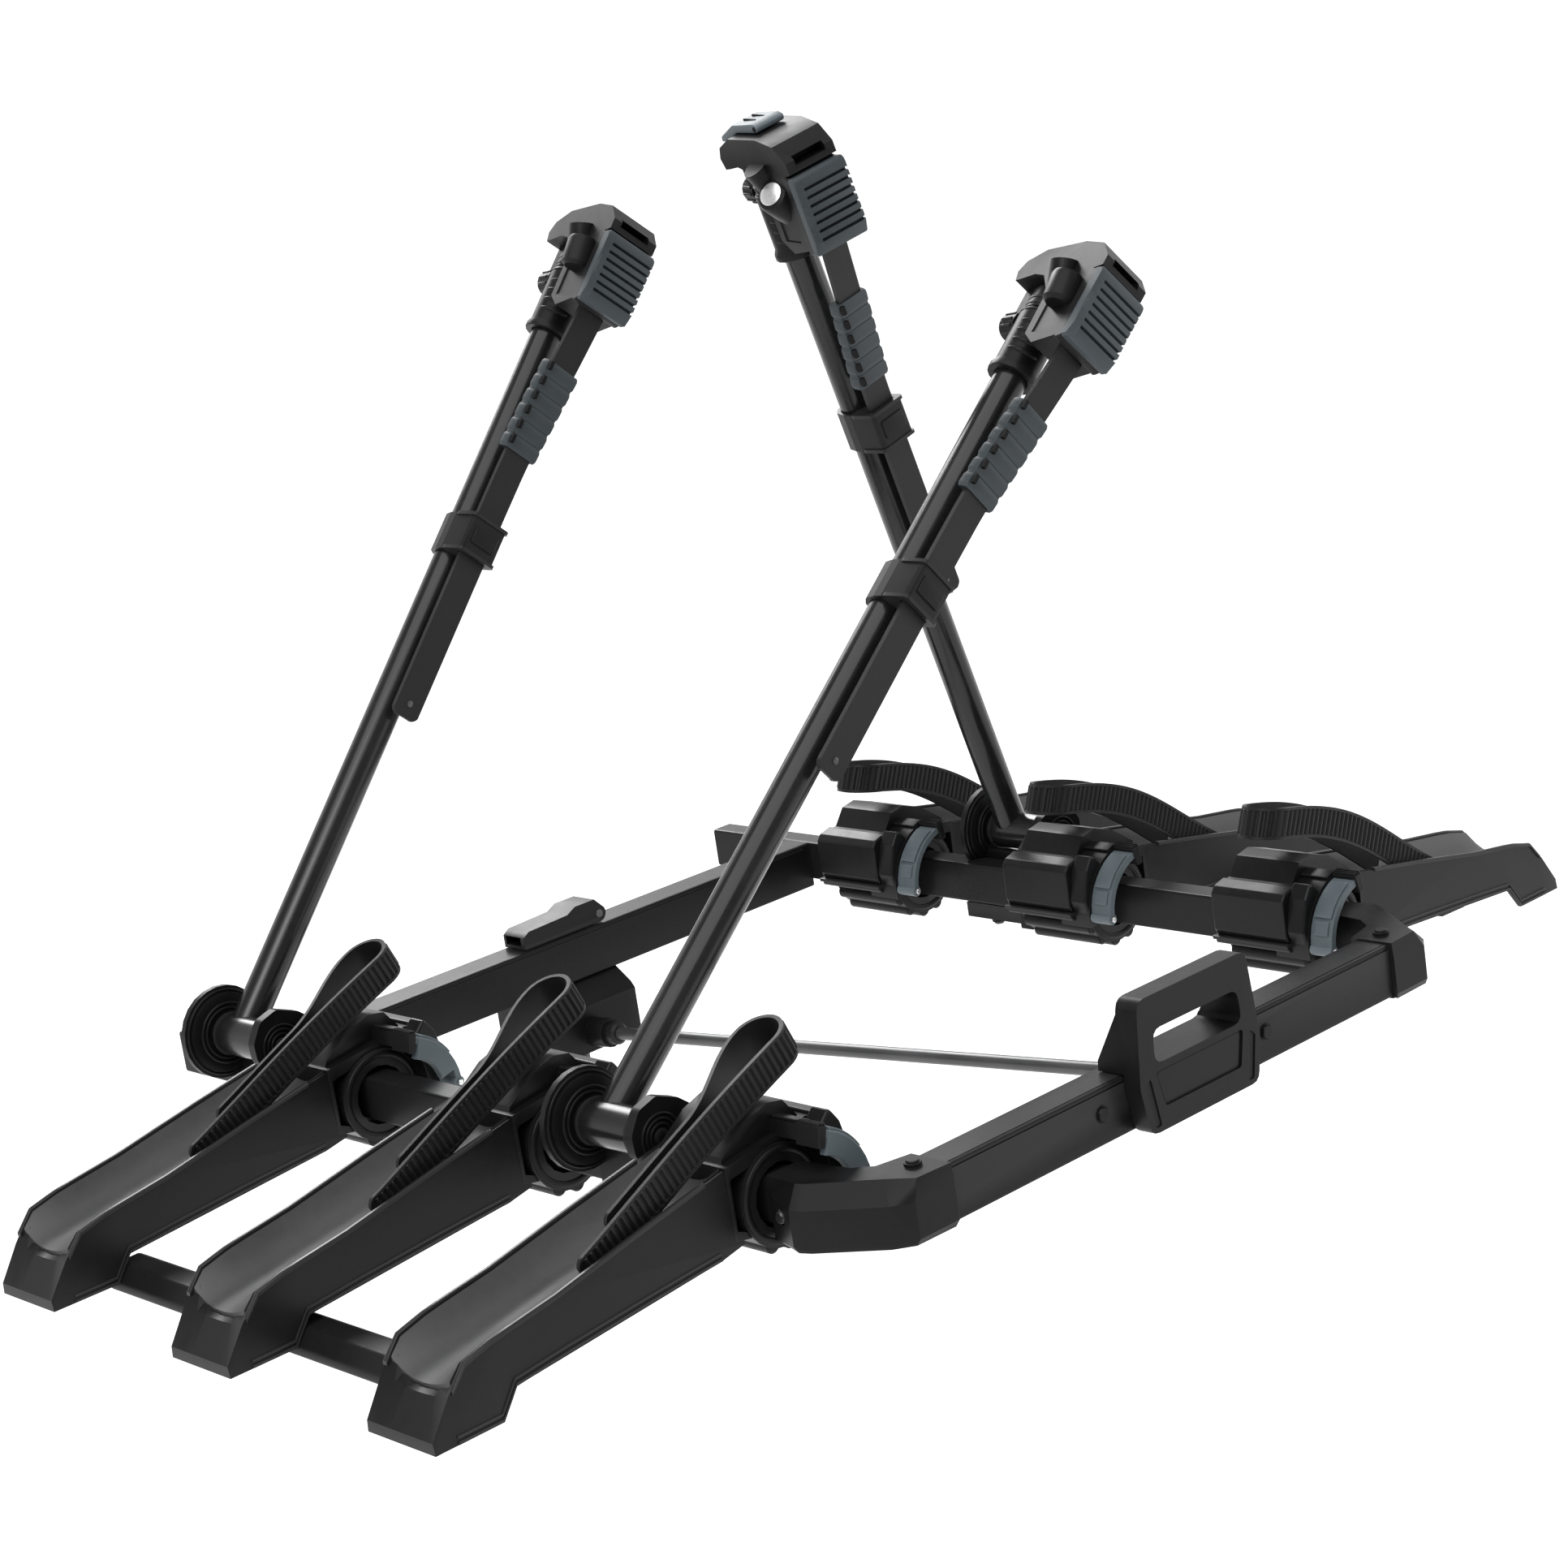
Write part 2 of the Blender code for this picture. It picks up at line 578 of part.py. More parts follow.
def head_housing(name, collar, finish):
    """The clamp head: neck, strap housing with its long top plate, lock barrel and adjusting knob."""
    body = prism(HEAD_SIDE_VIEW, "x", -22, 22)
    tilt = math.radians(23)
    lock_foot = Vector((-9, -30, -8))
    lock_top = lock_foot + Vector((-math.sin(tilt), 0, math.cos(tilt))) * 40
    steps = [
        ("join", turned([(15.5, 0.8), (15.5, 18), (13, 23), (9, 26)], (0, 0, 0), (0, 0, 1))),
        ("join", box((-9, 9), (8, 24), (1.2, 27))),
        ("join", y_rod(10.5, 0, -4, (19.6, 35), 16)),
        ("join", rod(11, lock_foot, lock_top, 16)),
        ("cut", rod(INNER_RADIUS + GAP, (0, 0, -20), (0, 0, 24.5))),
        ("cut", rod(20, (0, 0, -80), (0, 0, 0.6))),
        ("cut", box((-14, 14), (-90, -56), (27, 34))),
    ]
    return shaped(name, finish, body, steps, 1, (0, 0, collar))


def jaw_pad(name, collar, finish):
    """The ribbed rubber pad that the bike's frame rests against."""
    outline = [(-78, -33), (-74, -43), (-61, -43), (-61, 19.4), (-76, 19.4), (-78, 15)]
    return shaped(name, finish, prism(rounded(outline, 3, 1), "x", -24, 23), [], 1, (0, 0, collar))


def ratchet_lever(name, collar, finish):
    """The ratchet lever on top of the head, hinged at its front end."""
    profile = [(-29, 50.5), (-25, 49.6), (4, 48.6), (22, 41), (32, 40.5), (31, 45), (8, 55), (-24, 57), (-30, 54.5)]
    made = shaped(name, finish, prism(profile, "x", -13, 13), [], 1, (0, 0, collar))
    set_origin(made, (0, RATCHET_HINGE_Y, collar + RATCHET_HINGE_RISE))
    return made


def frame_strap(name, arm, finish):
    """The frame strap with its rubber sleeve: from its loose end, through the keeper, up to the head."""
    collar, keeper_top = arm["collar"], arm["keeper"] + KEEPER_LENGTH
    bend = keeper_top + 8
    aside = 57 * math.sin(math.radians(arm["swivel"]))
    path = [
        (0, -27, arm["tail"]),
        (0, -27, bend),
        (aside * 0.15, -29.5, collar - 166),
        (aside * 0.4, -38, collar - 124),
        (aside * 0.7, -47, collar - 84),
        (aside, -56.5, collar - STRAP_END_DROP),
    ]
    band = strip(path, (1, 0, 0), 25, 4.5)
    sleeve = strip([(x, y - 1, z) for x, y, z in path[2:5]], (1, 0, 0), 32, 10)
    return shaped(name, finish, band, [("join", sleeve)])


def place_arm(made, pivot, lean, swivel):
    """Sets a piece made upright at the origin on its pivot: swivelled on the tube, then leaning, in degrees."""
    turn = Matrix.Rotation(math.radians(lean), 4, "Y") @ Matrix.Rotation(math.radians(swivel), 4, "Z")
    made.matrix_world = Matrix.Translation(Vector(pivot) * MM) @ turn @ Matrix.Translation(made.location)


def bike_arm(number, arm, arm_y, finishes):
    side, collar = arm["side"], arm["collar"]
    pivot = (ARM_PIVOT_OUT * side, arm_y, ARM_PIVOT_Z)
    name = f"arm{number}_"
    arm_bracket(name + "bracket", side, arm_y, finishes["plastic"])
    shaft = [
        arm_tube(name + "tube", collar, finishes["tube"]),
        grip_collar(name + "grip_collar", collar, finishes["plastic"]),
        strap_keeper(name + "strap_keeper", arm["keeper"], finishes["plastic"]),
        inner_tube(name + "inner_tube", collar, finishes["tube"]),
        frame_strap(name + "frame_strap", arm, finishes["rubber"]),
    ]
    head = [
        head_housing(name + "head_housing", collar, finishes["plastic"]),
        jaw_pad(name + "jaw_pad", collar, finishes["accent"]),
        ratchet_lever(name + "ratchet_lever", collar, finishes["accent"]),
    ]
    for piece in shaft:
        place_arm(piece, pivot, arm["lean"], 0)
    for piece in head:
        place_arm(piece, pivot, arm["lean"], arm["swivel"])


# ---------------------------------------------------------------- the whole carrier


def make_materials():
    return {
        "painted": material("black_powder_coat", (0.018, 0.018, 0.019), 0.42),
        "plastic": material("black_plastic", (0.022, 0.022, 0.023), 0.5),
        "tube": material("black_anodised", (0.02, 0.02, 0.021), 0.3, 0.8),
        "steel": material("grey_rod", (0.2, 0.2, 0.21), 0.38, 0.9),
        "rubber": material("black_rubber", (0.02, 0.02, 0.02), 0.62),
        "accent": material("grey_blue_plastic", (0.105, 0.13, 0.145), 0.5),
    }


def main():
    for old in list(bpy.data.objects):
        bpy.data.objects.remove(old)
    finishes = make_materials()
    painted, plastic = finishes["painted"], finishes["plastic"]

    front_beam(painted)
    rear_beam(painted)
    latch_housing(plastic)
    coupler_body(painted)
    tilt_pivot_pin(finishes["steel"])
    clamp_lever(plastic)
    carry_handle(plastic)
    release_rod(finishes["steel"])
    latch_bolt(finishes["steel"])

    for side, word in ((-1, "left"), (1, "right")):
        side_beam(f"{word}_side_beam", side, painted)
        corner_casting(f"{word}_corner_casting", side, plastic)
        link_bar(f"{word}_link_bar", side, plastic)
        first = {
            "tray": tray(f"{word}_tray_1", side, TRAY_Y[0], plastic),
            "wheel_strap": wheel_strap(f"{word}_wheel_strap_1", side, TRAY_Y[0], LOOP_BOW[side], finishes["rubber"]),
            "buckle_lever": buckle_lever(f"{word}_buckle_lever_1", side, TRAY_Y[0], finishes["accent"]),
        }
        for number in (2, 3):
            for kind, source in first.items():
                copy_of(source, f"{word}_{kind}_{number}", TRAY_Y[number - 1] - TRAY_Y[0])

    for number, (arm, arm_y) in enumerate(zip(ARMS, ARM_Y), start=1):
        bike_arm(number, arm, arm_y, finishes)


main()
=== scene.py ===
"""Looks for a three-bike tow-ball carrier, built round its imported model.

Shapes are described in millimetres in the model's own frame: origin at the tow ball, +Z up, +Y to the car and
X across. "out" is the distance from the middle plane, so one description serves both sides.
"""

import json
import math

import bmesh
import bpy
from mathutils import Matrix, Vector


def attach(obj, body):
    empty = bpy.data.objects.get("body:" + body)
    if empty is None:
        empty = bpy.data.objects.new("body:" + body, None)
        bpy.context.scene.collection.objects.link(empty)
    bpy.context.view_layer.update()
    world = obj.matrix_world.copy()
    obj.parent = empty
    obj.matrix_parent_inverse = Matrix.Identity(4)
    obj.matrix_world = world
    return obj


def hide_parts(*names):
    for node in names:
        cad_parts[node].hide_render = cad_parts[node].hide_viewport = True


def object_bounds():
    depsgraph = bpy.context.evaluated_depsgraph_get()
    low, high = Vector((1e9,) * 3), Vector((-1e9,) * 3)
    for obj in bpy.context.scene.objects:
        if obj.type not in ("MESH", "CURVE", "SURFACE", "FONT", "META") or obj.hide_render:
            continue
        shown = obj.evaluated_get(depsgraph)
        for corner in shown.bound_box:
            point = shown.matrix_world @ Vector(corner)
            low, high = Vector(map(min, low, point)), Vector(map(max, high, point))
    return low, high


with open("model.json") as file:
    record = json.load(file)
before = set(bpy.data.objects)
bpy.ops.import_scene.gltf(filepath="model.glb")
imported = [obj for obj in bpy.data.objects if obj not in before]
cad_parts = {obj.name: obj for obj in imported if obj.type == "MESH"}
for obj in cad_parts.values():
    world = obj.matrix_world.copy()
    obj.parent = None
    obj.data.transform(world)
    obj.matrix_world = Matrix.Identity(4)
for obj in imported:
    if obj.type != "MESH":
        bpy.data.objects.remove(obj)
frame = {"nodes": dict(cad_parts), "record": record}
CAD_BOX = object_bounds()

MM = 0.001
SIDES = {"left": -1, "right": 1}

# Where things are on the carrier
SIDE_OUT, HUB_Z = 289.5, 113  # the axis that the trays fold about
PITCH = 217.5  # from one bike to the next
TRAY_Y = [-139.5 - PITCH * i for i in range(3)]
ARM_Y = [-44 - PITCH * i for i in range(3)]
ARM_OUT, ARM_Z = 318, 150  # the axle that an arm swings on
# Lean and swivel in degrees; the collar's top, the keeper's foot and the strap's loose end along the tube
ARMS = [
    {"side": -1, "lean": 40.8, "collar": 669, "keeper": 411, "tail": 272, "swivel": -8},
    {"side": 1, "lean": -16.4, "collar": 586, "keeper": 366, "tail": 230, "swivel": -14},
    {"side": -1, "lean": 49.1, "collar": 682, "keeper": 420, "tail": 282, "swivel": -8},
]
KEEPER_LENGTH = 32  # along the tube

# The wheel straps' loops, and the spacing of the points along every strap
STRAP_STEP = 1.3
LOOP_RISE = math.radians(23.7)
LOOP_RADIUS, LOOP_MIDDLE_Y = 18, -6
LOOP_BOW = {-1: 2, 1: 12}  # how far a loop bows upwards, by side
LOOP_NEAR, LOOP_TURN, LOOP_FAR = 36, 179, 70
LOOP_START = -26  # where a loop comes out of its trough
LOOP_PINCH = {-1: 27, 1: 0}  # how far the back run closes up to the front one


# ---------------------------------------------------------------- materials


def node(tree, kind, **values):
    made = tree.nodes.new("ShaderNode" + kind)
    for key, value in values.items():
        if isinstance(value, bpy.types.NodeSocket):
            tree.links.new(value, made.inputs[key.replace("_", " ")])
        elif key.replace("_", " ") in made.inputs:
            made.inputs[key.replace("_", " ")].default_value = value
        else:
            setattr(made, key, value)
    return made


def spread(tree, source, low, high, new_low, new_high):
    """Maps low..high of a grey value to new_low..new_high."""
    made = node(tree, "MapRange", Value=source, From_Min=low, From_Max=high, To_Min=new_low, To_Max=new_high)
    return made.outputs["Result"]


MOTTLE_SHARE = 0.35  # how strongly the small blotches mix into the slow drift


def look(
    name, dark, light, rough, grain=700, bump=0.12, depth=0.00012,
    stretch=(1, 1, 1), edge_wear_and_highlight=None, **shader_values
):
    """A finish whose colour and gloss drift over the surface, with a fine grain and paler edges, partly wear
    and partly a painted highlight where edges catch the light.
    """
    made = bpy.data.materials.new(name)
    made.use_nodes = True
    tree = made.node_tree
    shader = tree.nodes["Principled BSDF"]
    for key, value in shader_values.items():
        shader.inputs[key.replace("_", " ")].default_value = value
    place = node(tree, "TexCoord").outputs["Object"]
    stretched = node(tree, "Mapping", Vector=place, Scale=stretch).outputs["Vector"]
    drift = node(tree, "TexNoise", Vector=place, Scale=11.0, Detail=4.0, Roughness=0.6).outputs["Fac"]
    mottle = node(tree, "TexNoise", Vector=stretched, Scale=grain * 0.22, Detail=3.0).outputs["Fac"]
    fine = node(tree, "TexNoise", Vector=stretched, Scale=grain, Detail=2.0, Roughness=0.7).outputs["Fac"]
    share = node(tree, "Math", operation="MULTIPLY_ADD").inputs
    tree.links.new(mottle, share[0])
    share[1].default_value = MOTTLE_SHARE
    tree.links.new(drift, share[2])
    mixed = share[0].node.outputs[0]
    colour = node(tree, "Mix", data_type="RGBA", Factor=spread(tree, mixed, 0.45, 0.9, 0.0, 1.0))
    colour.inputs[6].default_value = (*dark, 1)
    colour.inputs[7].default_value = (*light, 1)
    result = colour.outputs[2]
    # Paler colour on sharp edges, found by pointiness: partly wear, partly a painted highlight standing in
    # for light caught on the edges.
    if edge_wear_and_highlight:
        edge = node(tree, "NewGeometry").outputs["Pointiness"]
        worn_and_lit_edge = node(tree, "Mix", data_type="RGBA", Factor=spread(tree, edge, 0.53, 0.62, 0.0, 0.7))
        tree.links.new(result, worn_and_lit_edge.inputs[6])
        worn_and_lit_edge.inputs[7].default_value = (*edge_wear_and_highlight, 1)
        result = worn_and_lit_edge.outputs[2]
    tree.links.new(result, shader.inputs["Base Color"])
    tree.links.new(spread(tree, mixed, 0.4, 0.95, rough - 0.07, rough + 0.09), shader.inputs["Roughness"])
    relief = node(tree, "Bump", Strength=bump, Distance=depth, Height=fine)
    tree.links.new(relief.outputs["Normal"], shader.inputs["Normal"])
    return made


# A finish's paler edge colour is partly wear and partly a painted highlight.
LOOKS = {
    "powder": look("powder_coat", (0.0045, 0.0045, 0.0047), (0.0075, 0.0075, 0.0079), 0.32, 800, 0.30,
                   edge_wear_and_highlight=(0.030, 0.030, 0.031), Specular_IOR_Level=0.14),
    "plastic": look("moulded_plastic", (0.0045, 0.0045, 0.0047), (0.0078, 0.0078, 0.0082), 0.37, 620, 0.4,
                    edge_wear_and_highlight=(0.028, 0.028, 0.029), Specular_IOR_Level=0.15),
    "tray": look("tray_plastic", (0.0050, 0.0050, 0.0052), (0.0085, 0.0085, 0.0089), 0.33, 620, 0.3,
                 edge_wear_and_highlight=(0.038, 0.038, 0.039), Specular_IOR_Level=0.20),
    # Same plastic as the tray, given a colour several times lighter: a painted sheen standing in for the
    # grazing reflection along the trough.
    "trough": look("trough_painted_sheen", (0.042, 0.042, 0.0425), (0.062, 0.062, 0.063), 0.44, 620, 0.2,
                   Specular_IOR_Level=0.40),
    "dark": look("dark_plastic", (0.002, 0.002, 0.002), (0.004, 0.004, 0.004), 0.55, 700, 0.4,
                 Specular_IOR_Level=0.12),
    "tube": look("anodised_tube", (0.0070, 0.0070, 0.0073), (0.0120, 0.0120, 0.0125), 0.22, 900, 0.06,
                 Specular_IOR_Level=0.30, Coat_Weight=0.25, Coat_Roughness=0.12),
    "steel": look("brushed_steel", (0.060, 0.060, 0.062), (0.10, 0.10, 0.103), 0.34, 1100, 0.25,
                  stretch=(1, 0.06, 1), Metallic=0.6),
    "silver": look("bright_steel", (0.70, 0.70, 0.70), (0.85, 0.85, 0.85), 0.25, 1100, 0.2, Metallic=0.8),
    "rubber": look("moulded_rubber", (0.0060, 0.0060, 0.0060), (0.0105, 0.0105, 0.0105), 0.46, 900, 0.4,
                   Sheen_Weight=0.03, Specular_IOR_Level=0.25),
    "accent": look("grey_blue_plastic", (0.068, 0.087, 0.098), (0.092, 0.115, 0.128), 0.44, 700, 0.35,
                   edge_wear_and_highlight=(0.16, 0.19, 0.205), Specular_IOR_Level=0.35),
    "accent_rubber": look("grey_blue_rubber", (0.026, 0.033, 0.038), (0.038, 0.048, 0.054), 0.54, 900, 0.5,
                          edge_wear_and_highlight=(0.065, 0.078, 0.086), Specular_IOR_Level=0.3),
}


# ---------------------------------------------------------------- shapes, in millimetres


def skin(loops, closed=False):
    """A closed surface over loops of points; end loops are capped unless the loops run in a ring."""
    mesh = bmesh.new()
    rows = [[mesh.verts.new(point) for point in loop] for loop in loops]
    pairs = list(zip(rows, rows[1:]))
    if closed:
        pairs.append((rows[-1], rows[0]))
    for first, second in pairs:
        for i in range(len(first)):
            j = (i + 1) % len(first)
            mesh.faces.new((first[i], first[j], second[j], second[i]))
    if not closed:
        mesh.faces.new(rows[0])
        mesh.faces.new(rows[-1])
    bmesh.ops.recalc_face_normals(mesh, faces=mesh.faces)
    return mesh


ALONG = {
    "x": lambda u, v, h: (h, u, v),
    "y": lambda u, v, h: (u, h, v),
    "z": lambda u, v, h: (u, v, h),
}


def prism(outline, axis, low, high, edge=0.0):
    """An outline pushed along an axis; edge chamfers its two ends."""
    place = ALONG[axis]
    if edge <= 0:
        return skin([[place(u, v, h) for u, v in outline] for h in (low, high)])
    middle = sum((Vector(p) for p in outline), Vector((0, 0))) / len(outline)
    inset = [tuple(Vector(p) + (middle - Vector(p)).normalized() * edge) for p in outline]
    levels = ((inset, low), (outline, low + edge), (outline, high - edge), (inset, high))
    return skin([[place(u, v, h) for u, v in line] for line, h in levels])


def rounded(outline, radius, steps=4):
    """The outline with its corners rounded as far as its sides allow."""
    points = []
    for i, corner in enumerate(outline):
        here = Vector(corner)
        before = Vector(outline[i - 1]) - here
        after = Vector(outline[(i + 1) % len(outline)]) - here
        half = before.angle(after) / 2
        reach = min(radius / math.tan(half), before.length * 0.45, after.length * 0.45)
        start = here + before.normalized() * reach
        end = here + after.normalized() * reach
        for k in range(steps + 1):
            t = k / steps
            points.append(tuple(start * (1 - t) ** 2 + here * 2 * t * (1 - t) + end * t**2))
    return points


def rectangle(u0, u1, v0, v1):
    return [(u0, v0), (u1, v0), (u1, v1), (u0, v1)]


def block(x, y, z, radius=0.0, edge=0.0):
    outline = rectangle(*x, *y)
    return prism(rounded(outline, radius) if radius else outline, "z", *z, edge)


def circle(radius, steps, centre=(0, 0), start=0.0, sweep=360.0):
    whole = abs(sweep) >= 360
    turns = [math.radians(start + sweep * i / (steps if whole else steps - 1)) for i in range(steps)]
    return [(centre[0] + radius * math.cos(t), centre[1] + radius * math.sin(t)) for t in turns]


def sector(inner, outer, start, end, centre, steps=13):
    """Part of a flat ring between two angles in degrees."""
    return circle(outer, steps, centre, start, end - start) + circle(inner, steps, centre, end, start - end)


def turned(profile, start, direction, steps=40, closed=False):
    """(radius, height) points turned about the line from start along direction."""
    direction = Vector(direction).normalized()
    side = direction.orthogonal().normalized()
    other = direction.cross(side)
    loops = []
    for radius, height in profile:
        ring = circle(radius, steps)
        loops.append([Vector(start) + direction * height + side * u + other * v for u, v in ring])
    return skin(loops, closed)


def rod(radius, start, end, steps=32, edge=0.0):
    start, end = Vector(start), Vector(end)
    length = (end - start).length
    profile = [(radius, 0), (radius, length)]
    if edge:
        profile = [(radius - edge, 0), (radius, edge), (radius, length - edge), (radius - edge, length)]
    return turned(profile, start, end - start, steps)


def ring(inner, outer, height, start, direction, steps=40):
    """A raised ridge with a rounded top."""
    half, middle = (outer - inner) / 2, (outer + inner) / 2
    profile = [(inner, -0.4)] + [
        (middle - half * math.cos(math.pi * k / 6), height * math.sin(math.pi * k / 6)) for k in range(7)
    ]
    profile += [(outer, -0.4)]
    return turned(profile, start, direction, steps, closed=True)


def square_ridge(inner, rise, height, start, direction):
    """A ridge with square shoulders round a tube, 2.5 wide from height on."""
    outer = inner + rise
    profile = [(inner, height), (outer, height + 0.5), (outer, height + 2), (inner, height + 2.5)]
    return turned(profile, start, direction, closed=True)


def bar(line, y, lift, section):
    """A bar with one (y, height) section along a line of (out, height) points."""
    return skin([[(u, y + a, z + lift + b) for a, b in section] for u, z in line])


def socket_bolt(radius, height, start, direction, flats=6):
    """A bolt head with a domed rim and a socket."""
    profile = [(radius, 0), (radius, height * 0.6), (radius * 0.86, height), (radius * 0.56, height)]
    head = turned([(radius * 1.25, -0.3), (radius * 1.25, 0.5)] + profile, start, direction, 24)
    key = turned([(radius * 0.5, 0), (radius * 0.5, height * 0.35)], start, direction, flats)
    return join(head, key)


def join(*meshes):
    """One mesh from several, which are freed."""
    whole = bmesh.new()
    for mesh in meshes:
        data = bpy.data.meshes.new("part")
        mesh.to_mesh(data)
        whole.from_mesh(data)
        bpy.data.meshes.remove(data)
        mesh.free()
    return whole


def ladder(points, width_direction, width, levels, pitch_steps=4):
    """A strap with teeth across it.

    The points are closely spaced, and levels are the heights of its back, gaps, rails and teeth.
    """
    inner, gap, rail, tooth = levels
    across = Vector(width_direction).normalized()
    loops = []
    count = len(points)
    for i, point in enumerate(points):
        forward = Vector(points[min(i + 1, count - 1)]) - Vector(points[max(i - 1, 0)])
        outward = across.cross(forward).normalized()
        ends = min(i, count - 1 - i)
        narrow = 1 - 0.35 * max(0, 1 - ends / 4) ** 2
        top = tooth if i % pitch_steps in (1, 2) and 3 < ends else gap
        half = width / 2 * narrow
        inset = max(half - 2.6, 1)
        section = [
            (-half, inner), (half, inner), (half, rail), (inset + 0.4, rail), (inset, top), (-inset, top),
            (-inset - 0.4, rail), (-half, rail),
        ]
        loops.append([Vector(point) + across * a + outward * b for a, b in section])
    return skin(loops)


# ---------------------------------------------------------------- objects


def settle(obj, look_name, bevel, smooth=True):
    """Sets an object's finish, its edges and its shading."""
    obj.data.materials.clear()
    obj.data.materials.append(LOOKS[look_name])
    if bevel:
        made = obj.modifiers.new("edges", "BEVEL")
        made.width = bevel * MM
        made.segments = 2
        made.limit_method = "ANGLE"
        made.angle_limit = math.radians(32)
        made.use_clamp_overlap = True
    if smooth:
        made = obj.modifiers.new("normals", "WEIGHTED_NORMAL")
        made.keep_sharp = False
        made.weight = 60


def mesh_object(name, mesh, place):
    """An object in metres from a mesh in millimetres, which is freed."""
    if place is not None:
        bmesh.ops.transform(mesh, matrix=place, verts=mesh.verts)
    bmesh.ops.scale(mesh, verts=mesh.verts, vec=(MM, MM, MM))
    bmesh.ops.recalc_face_normals(mesh, faces=mesh.faces)
    data = bpy.data.meshes.new(name)
    mesh.to_mesh(data)
    mesh.free()
    made = bpy.data.objects.new(name, data)
    bpy.context.scene.collection.objects.link(made)
    return made


def piece(name, mesh, body, look_name, place=None, bevel=0.0, angle=38):
    """A visible piece that rides on a body."""
    made = mesh_object(name, mesh, place)
    made.data.shade_smooth()
    made.data.set_sharp_from_angle(angle=math.radians(angle))
    settle(made, look_name, bevel, smooth=bool(bevel))
    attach(made, body)
    return made


# The body that each CAD node belongs to
BODY_OF = {n: b for b, names in frame["record"]["behaviour"]["bodies"].items() for n in names}


def dress(name, look_name, bevel=0.8, cuts=None, place=None):
    """Gives a CAD node its finish, soft edges and, if asked, grooves cut by a hidden helper."""
    obj = frame["nodes"][name]
    for polygon in obj.data.polygons:
        polygon.use_smooth = True
    weld = obj.modifiers.new("weld", "WELD")
    weld.merge_threshold = 2e-5
    flat = obj.modifiers.new("flat", "DECIMATE")
    flat.decimate_type = "DISSOLVE"
    flat.angle_limit = math.radians(1.5)
    if cuts is not None:
        cutter = mesh_object("cutter_" + name, cuts, place)
        cutter.hide_render = True
        cutter.display_type = "WIRE"
        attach(cutter, BODY_OF[name])
        carve = obj.modifiers.new("carve", "BOOLEAN")
        carve.operation = "DIFFERENCE"
        carve.solver = "EXACT"
        carve.object = cutter
    settle(obj, look_name, bevel)
    return obj


def on_side(side, y=0.0):
    return Matrix.Translation((0, y, 0)) @ Matrix.Diagonal((side, 1, 1, 1))


def on_arm(number, head=False):
    arm = ARMS[number - 1]
    pivot = Matrix.Translation((ARM_OUT * arm["side"], ARM_Y[number - 1], ARM_Z))
    turn = Matrix.Rotation(math.radians(arm["lean"]), 4, "Y")
    if head:
        turn = turn @ Matrix.Rotation(math.radians(arm["swivel"]), 4, "Z")
    return pivot @ turn


# ---------------------------------------------------------------- frame


REAR_SCREW_OUT = 86.5


def dress_beams():
    """Fine grooves, screws, end plugs and rivets on the beams."""
    groove = join(
        block((-230, 230), (-708, -706.2), (126.2, 127.4)),
        block((-230, 230), (-704.4, -703.2), (129.1, 131)),
    )
    dress("rear_beam", "powder", 1.0, groove)
    dress("front_beam", "powder", 1.2, block((-270, 270), (-47.5, -46.2), (125.8, 127)))
    for word, side in SIDES.items():
        screw = socket_bolt(5, 2.6, (REAR_SCREW_OUT * side, -706.8, 112), (0, -1, 0))
        piece(f"rear_screw_{word}", screw, "frame", "plastic")
    for word, side in SIDES.items():
        dress(f"{word}_side_beam", "powder", 1.2)
        place = on_side(side)
        plug = block((281, 298), (74.4, 78.2), (99.5, 126.5), 2.5, 0.6)
        piece(f"{word}_beam_plug", plug, "frame", "dark", place)
        rim = ring(2.6, 5.4, 0.8, (300.5, 66, HUB_Z), (1, 0, 0), 24)
        shank = rod(2.6, (299, 66, HUB_Z), (300.7, 66, HUB_Z), 16)
        piece(f"{word}_beam_rivet", join(rim, shank), "frame", "dark", place)


def dress_castings():
    """The rear corners, each with a dark seam at the beam and two bolts."""
    for word, side in SIDES.items():
        place = on_side(side)
        dress(f"{word}_corner_casting", "plastic", 2.6)
        band = prism(rounded(rectangle(-708.6, -674.6, 88.6, 131.4), 3), "x", 231.8, 233.2)
        piece(f"{word}_seam_line", band, "frame", "dark", place)
        bolt = socket_bolt(4.2, 3.2, (309, -631, 109), (1, 0.28, 0))
        piece(f"{word}_casting_bolt", bolt, "frame", "steel", place)
        top = socket_bolt(4.6, 2.0, (246, -690, 133.4), (0, 0, 1))
        piece(f"{word}_casting_top_bolt", top, "frame", "plastic", place)


def dress_coupling():
    """The parts that hold the ball and release the tilt."""
    dress("latch_housing", "plastic", 1.2)
    dress("coupler_body", "powder", 1.4)
    dress("tilt_pivot_pin", "steel", 0.3)
    dress("release_rod", "steel", 0.8)
    dress("latch_bolt", "steel", 0.6)
    slot = join(
        block((-37, -7), (-45, -17), (148, 160), 3),
        block((-43, 34), (-44.6, -43.6), (134, 135)),
    )
    dress("clamp_lever", "plastic", 1.6, slot)
    piece("clamp_lever_pin", rod(3.6, (39, -44.9, 138), (39, -43.2, 138), 20, 0.5), "clamp_lever", "steel")
    boot_profile = [(6.6, 0), (9.2, 0.8), (9.2, 6), (6.8, 8), (5.4, 8)]
    boot = turned(boot_profile, (0, -88.5, 51.7), (0, -0.9957, 0.0923), 24)
    piece("release_rod_boot", boot, "frame", "rubber")


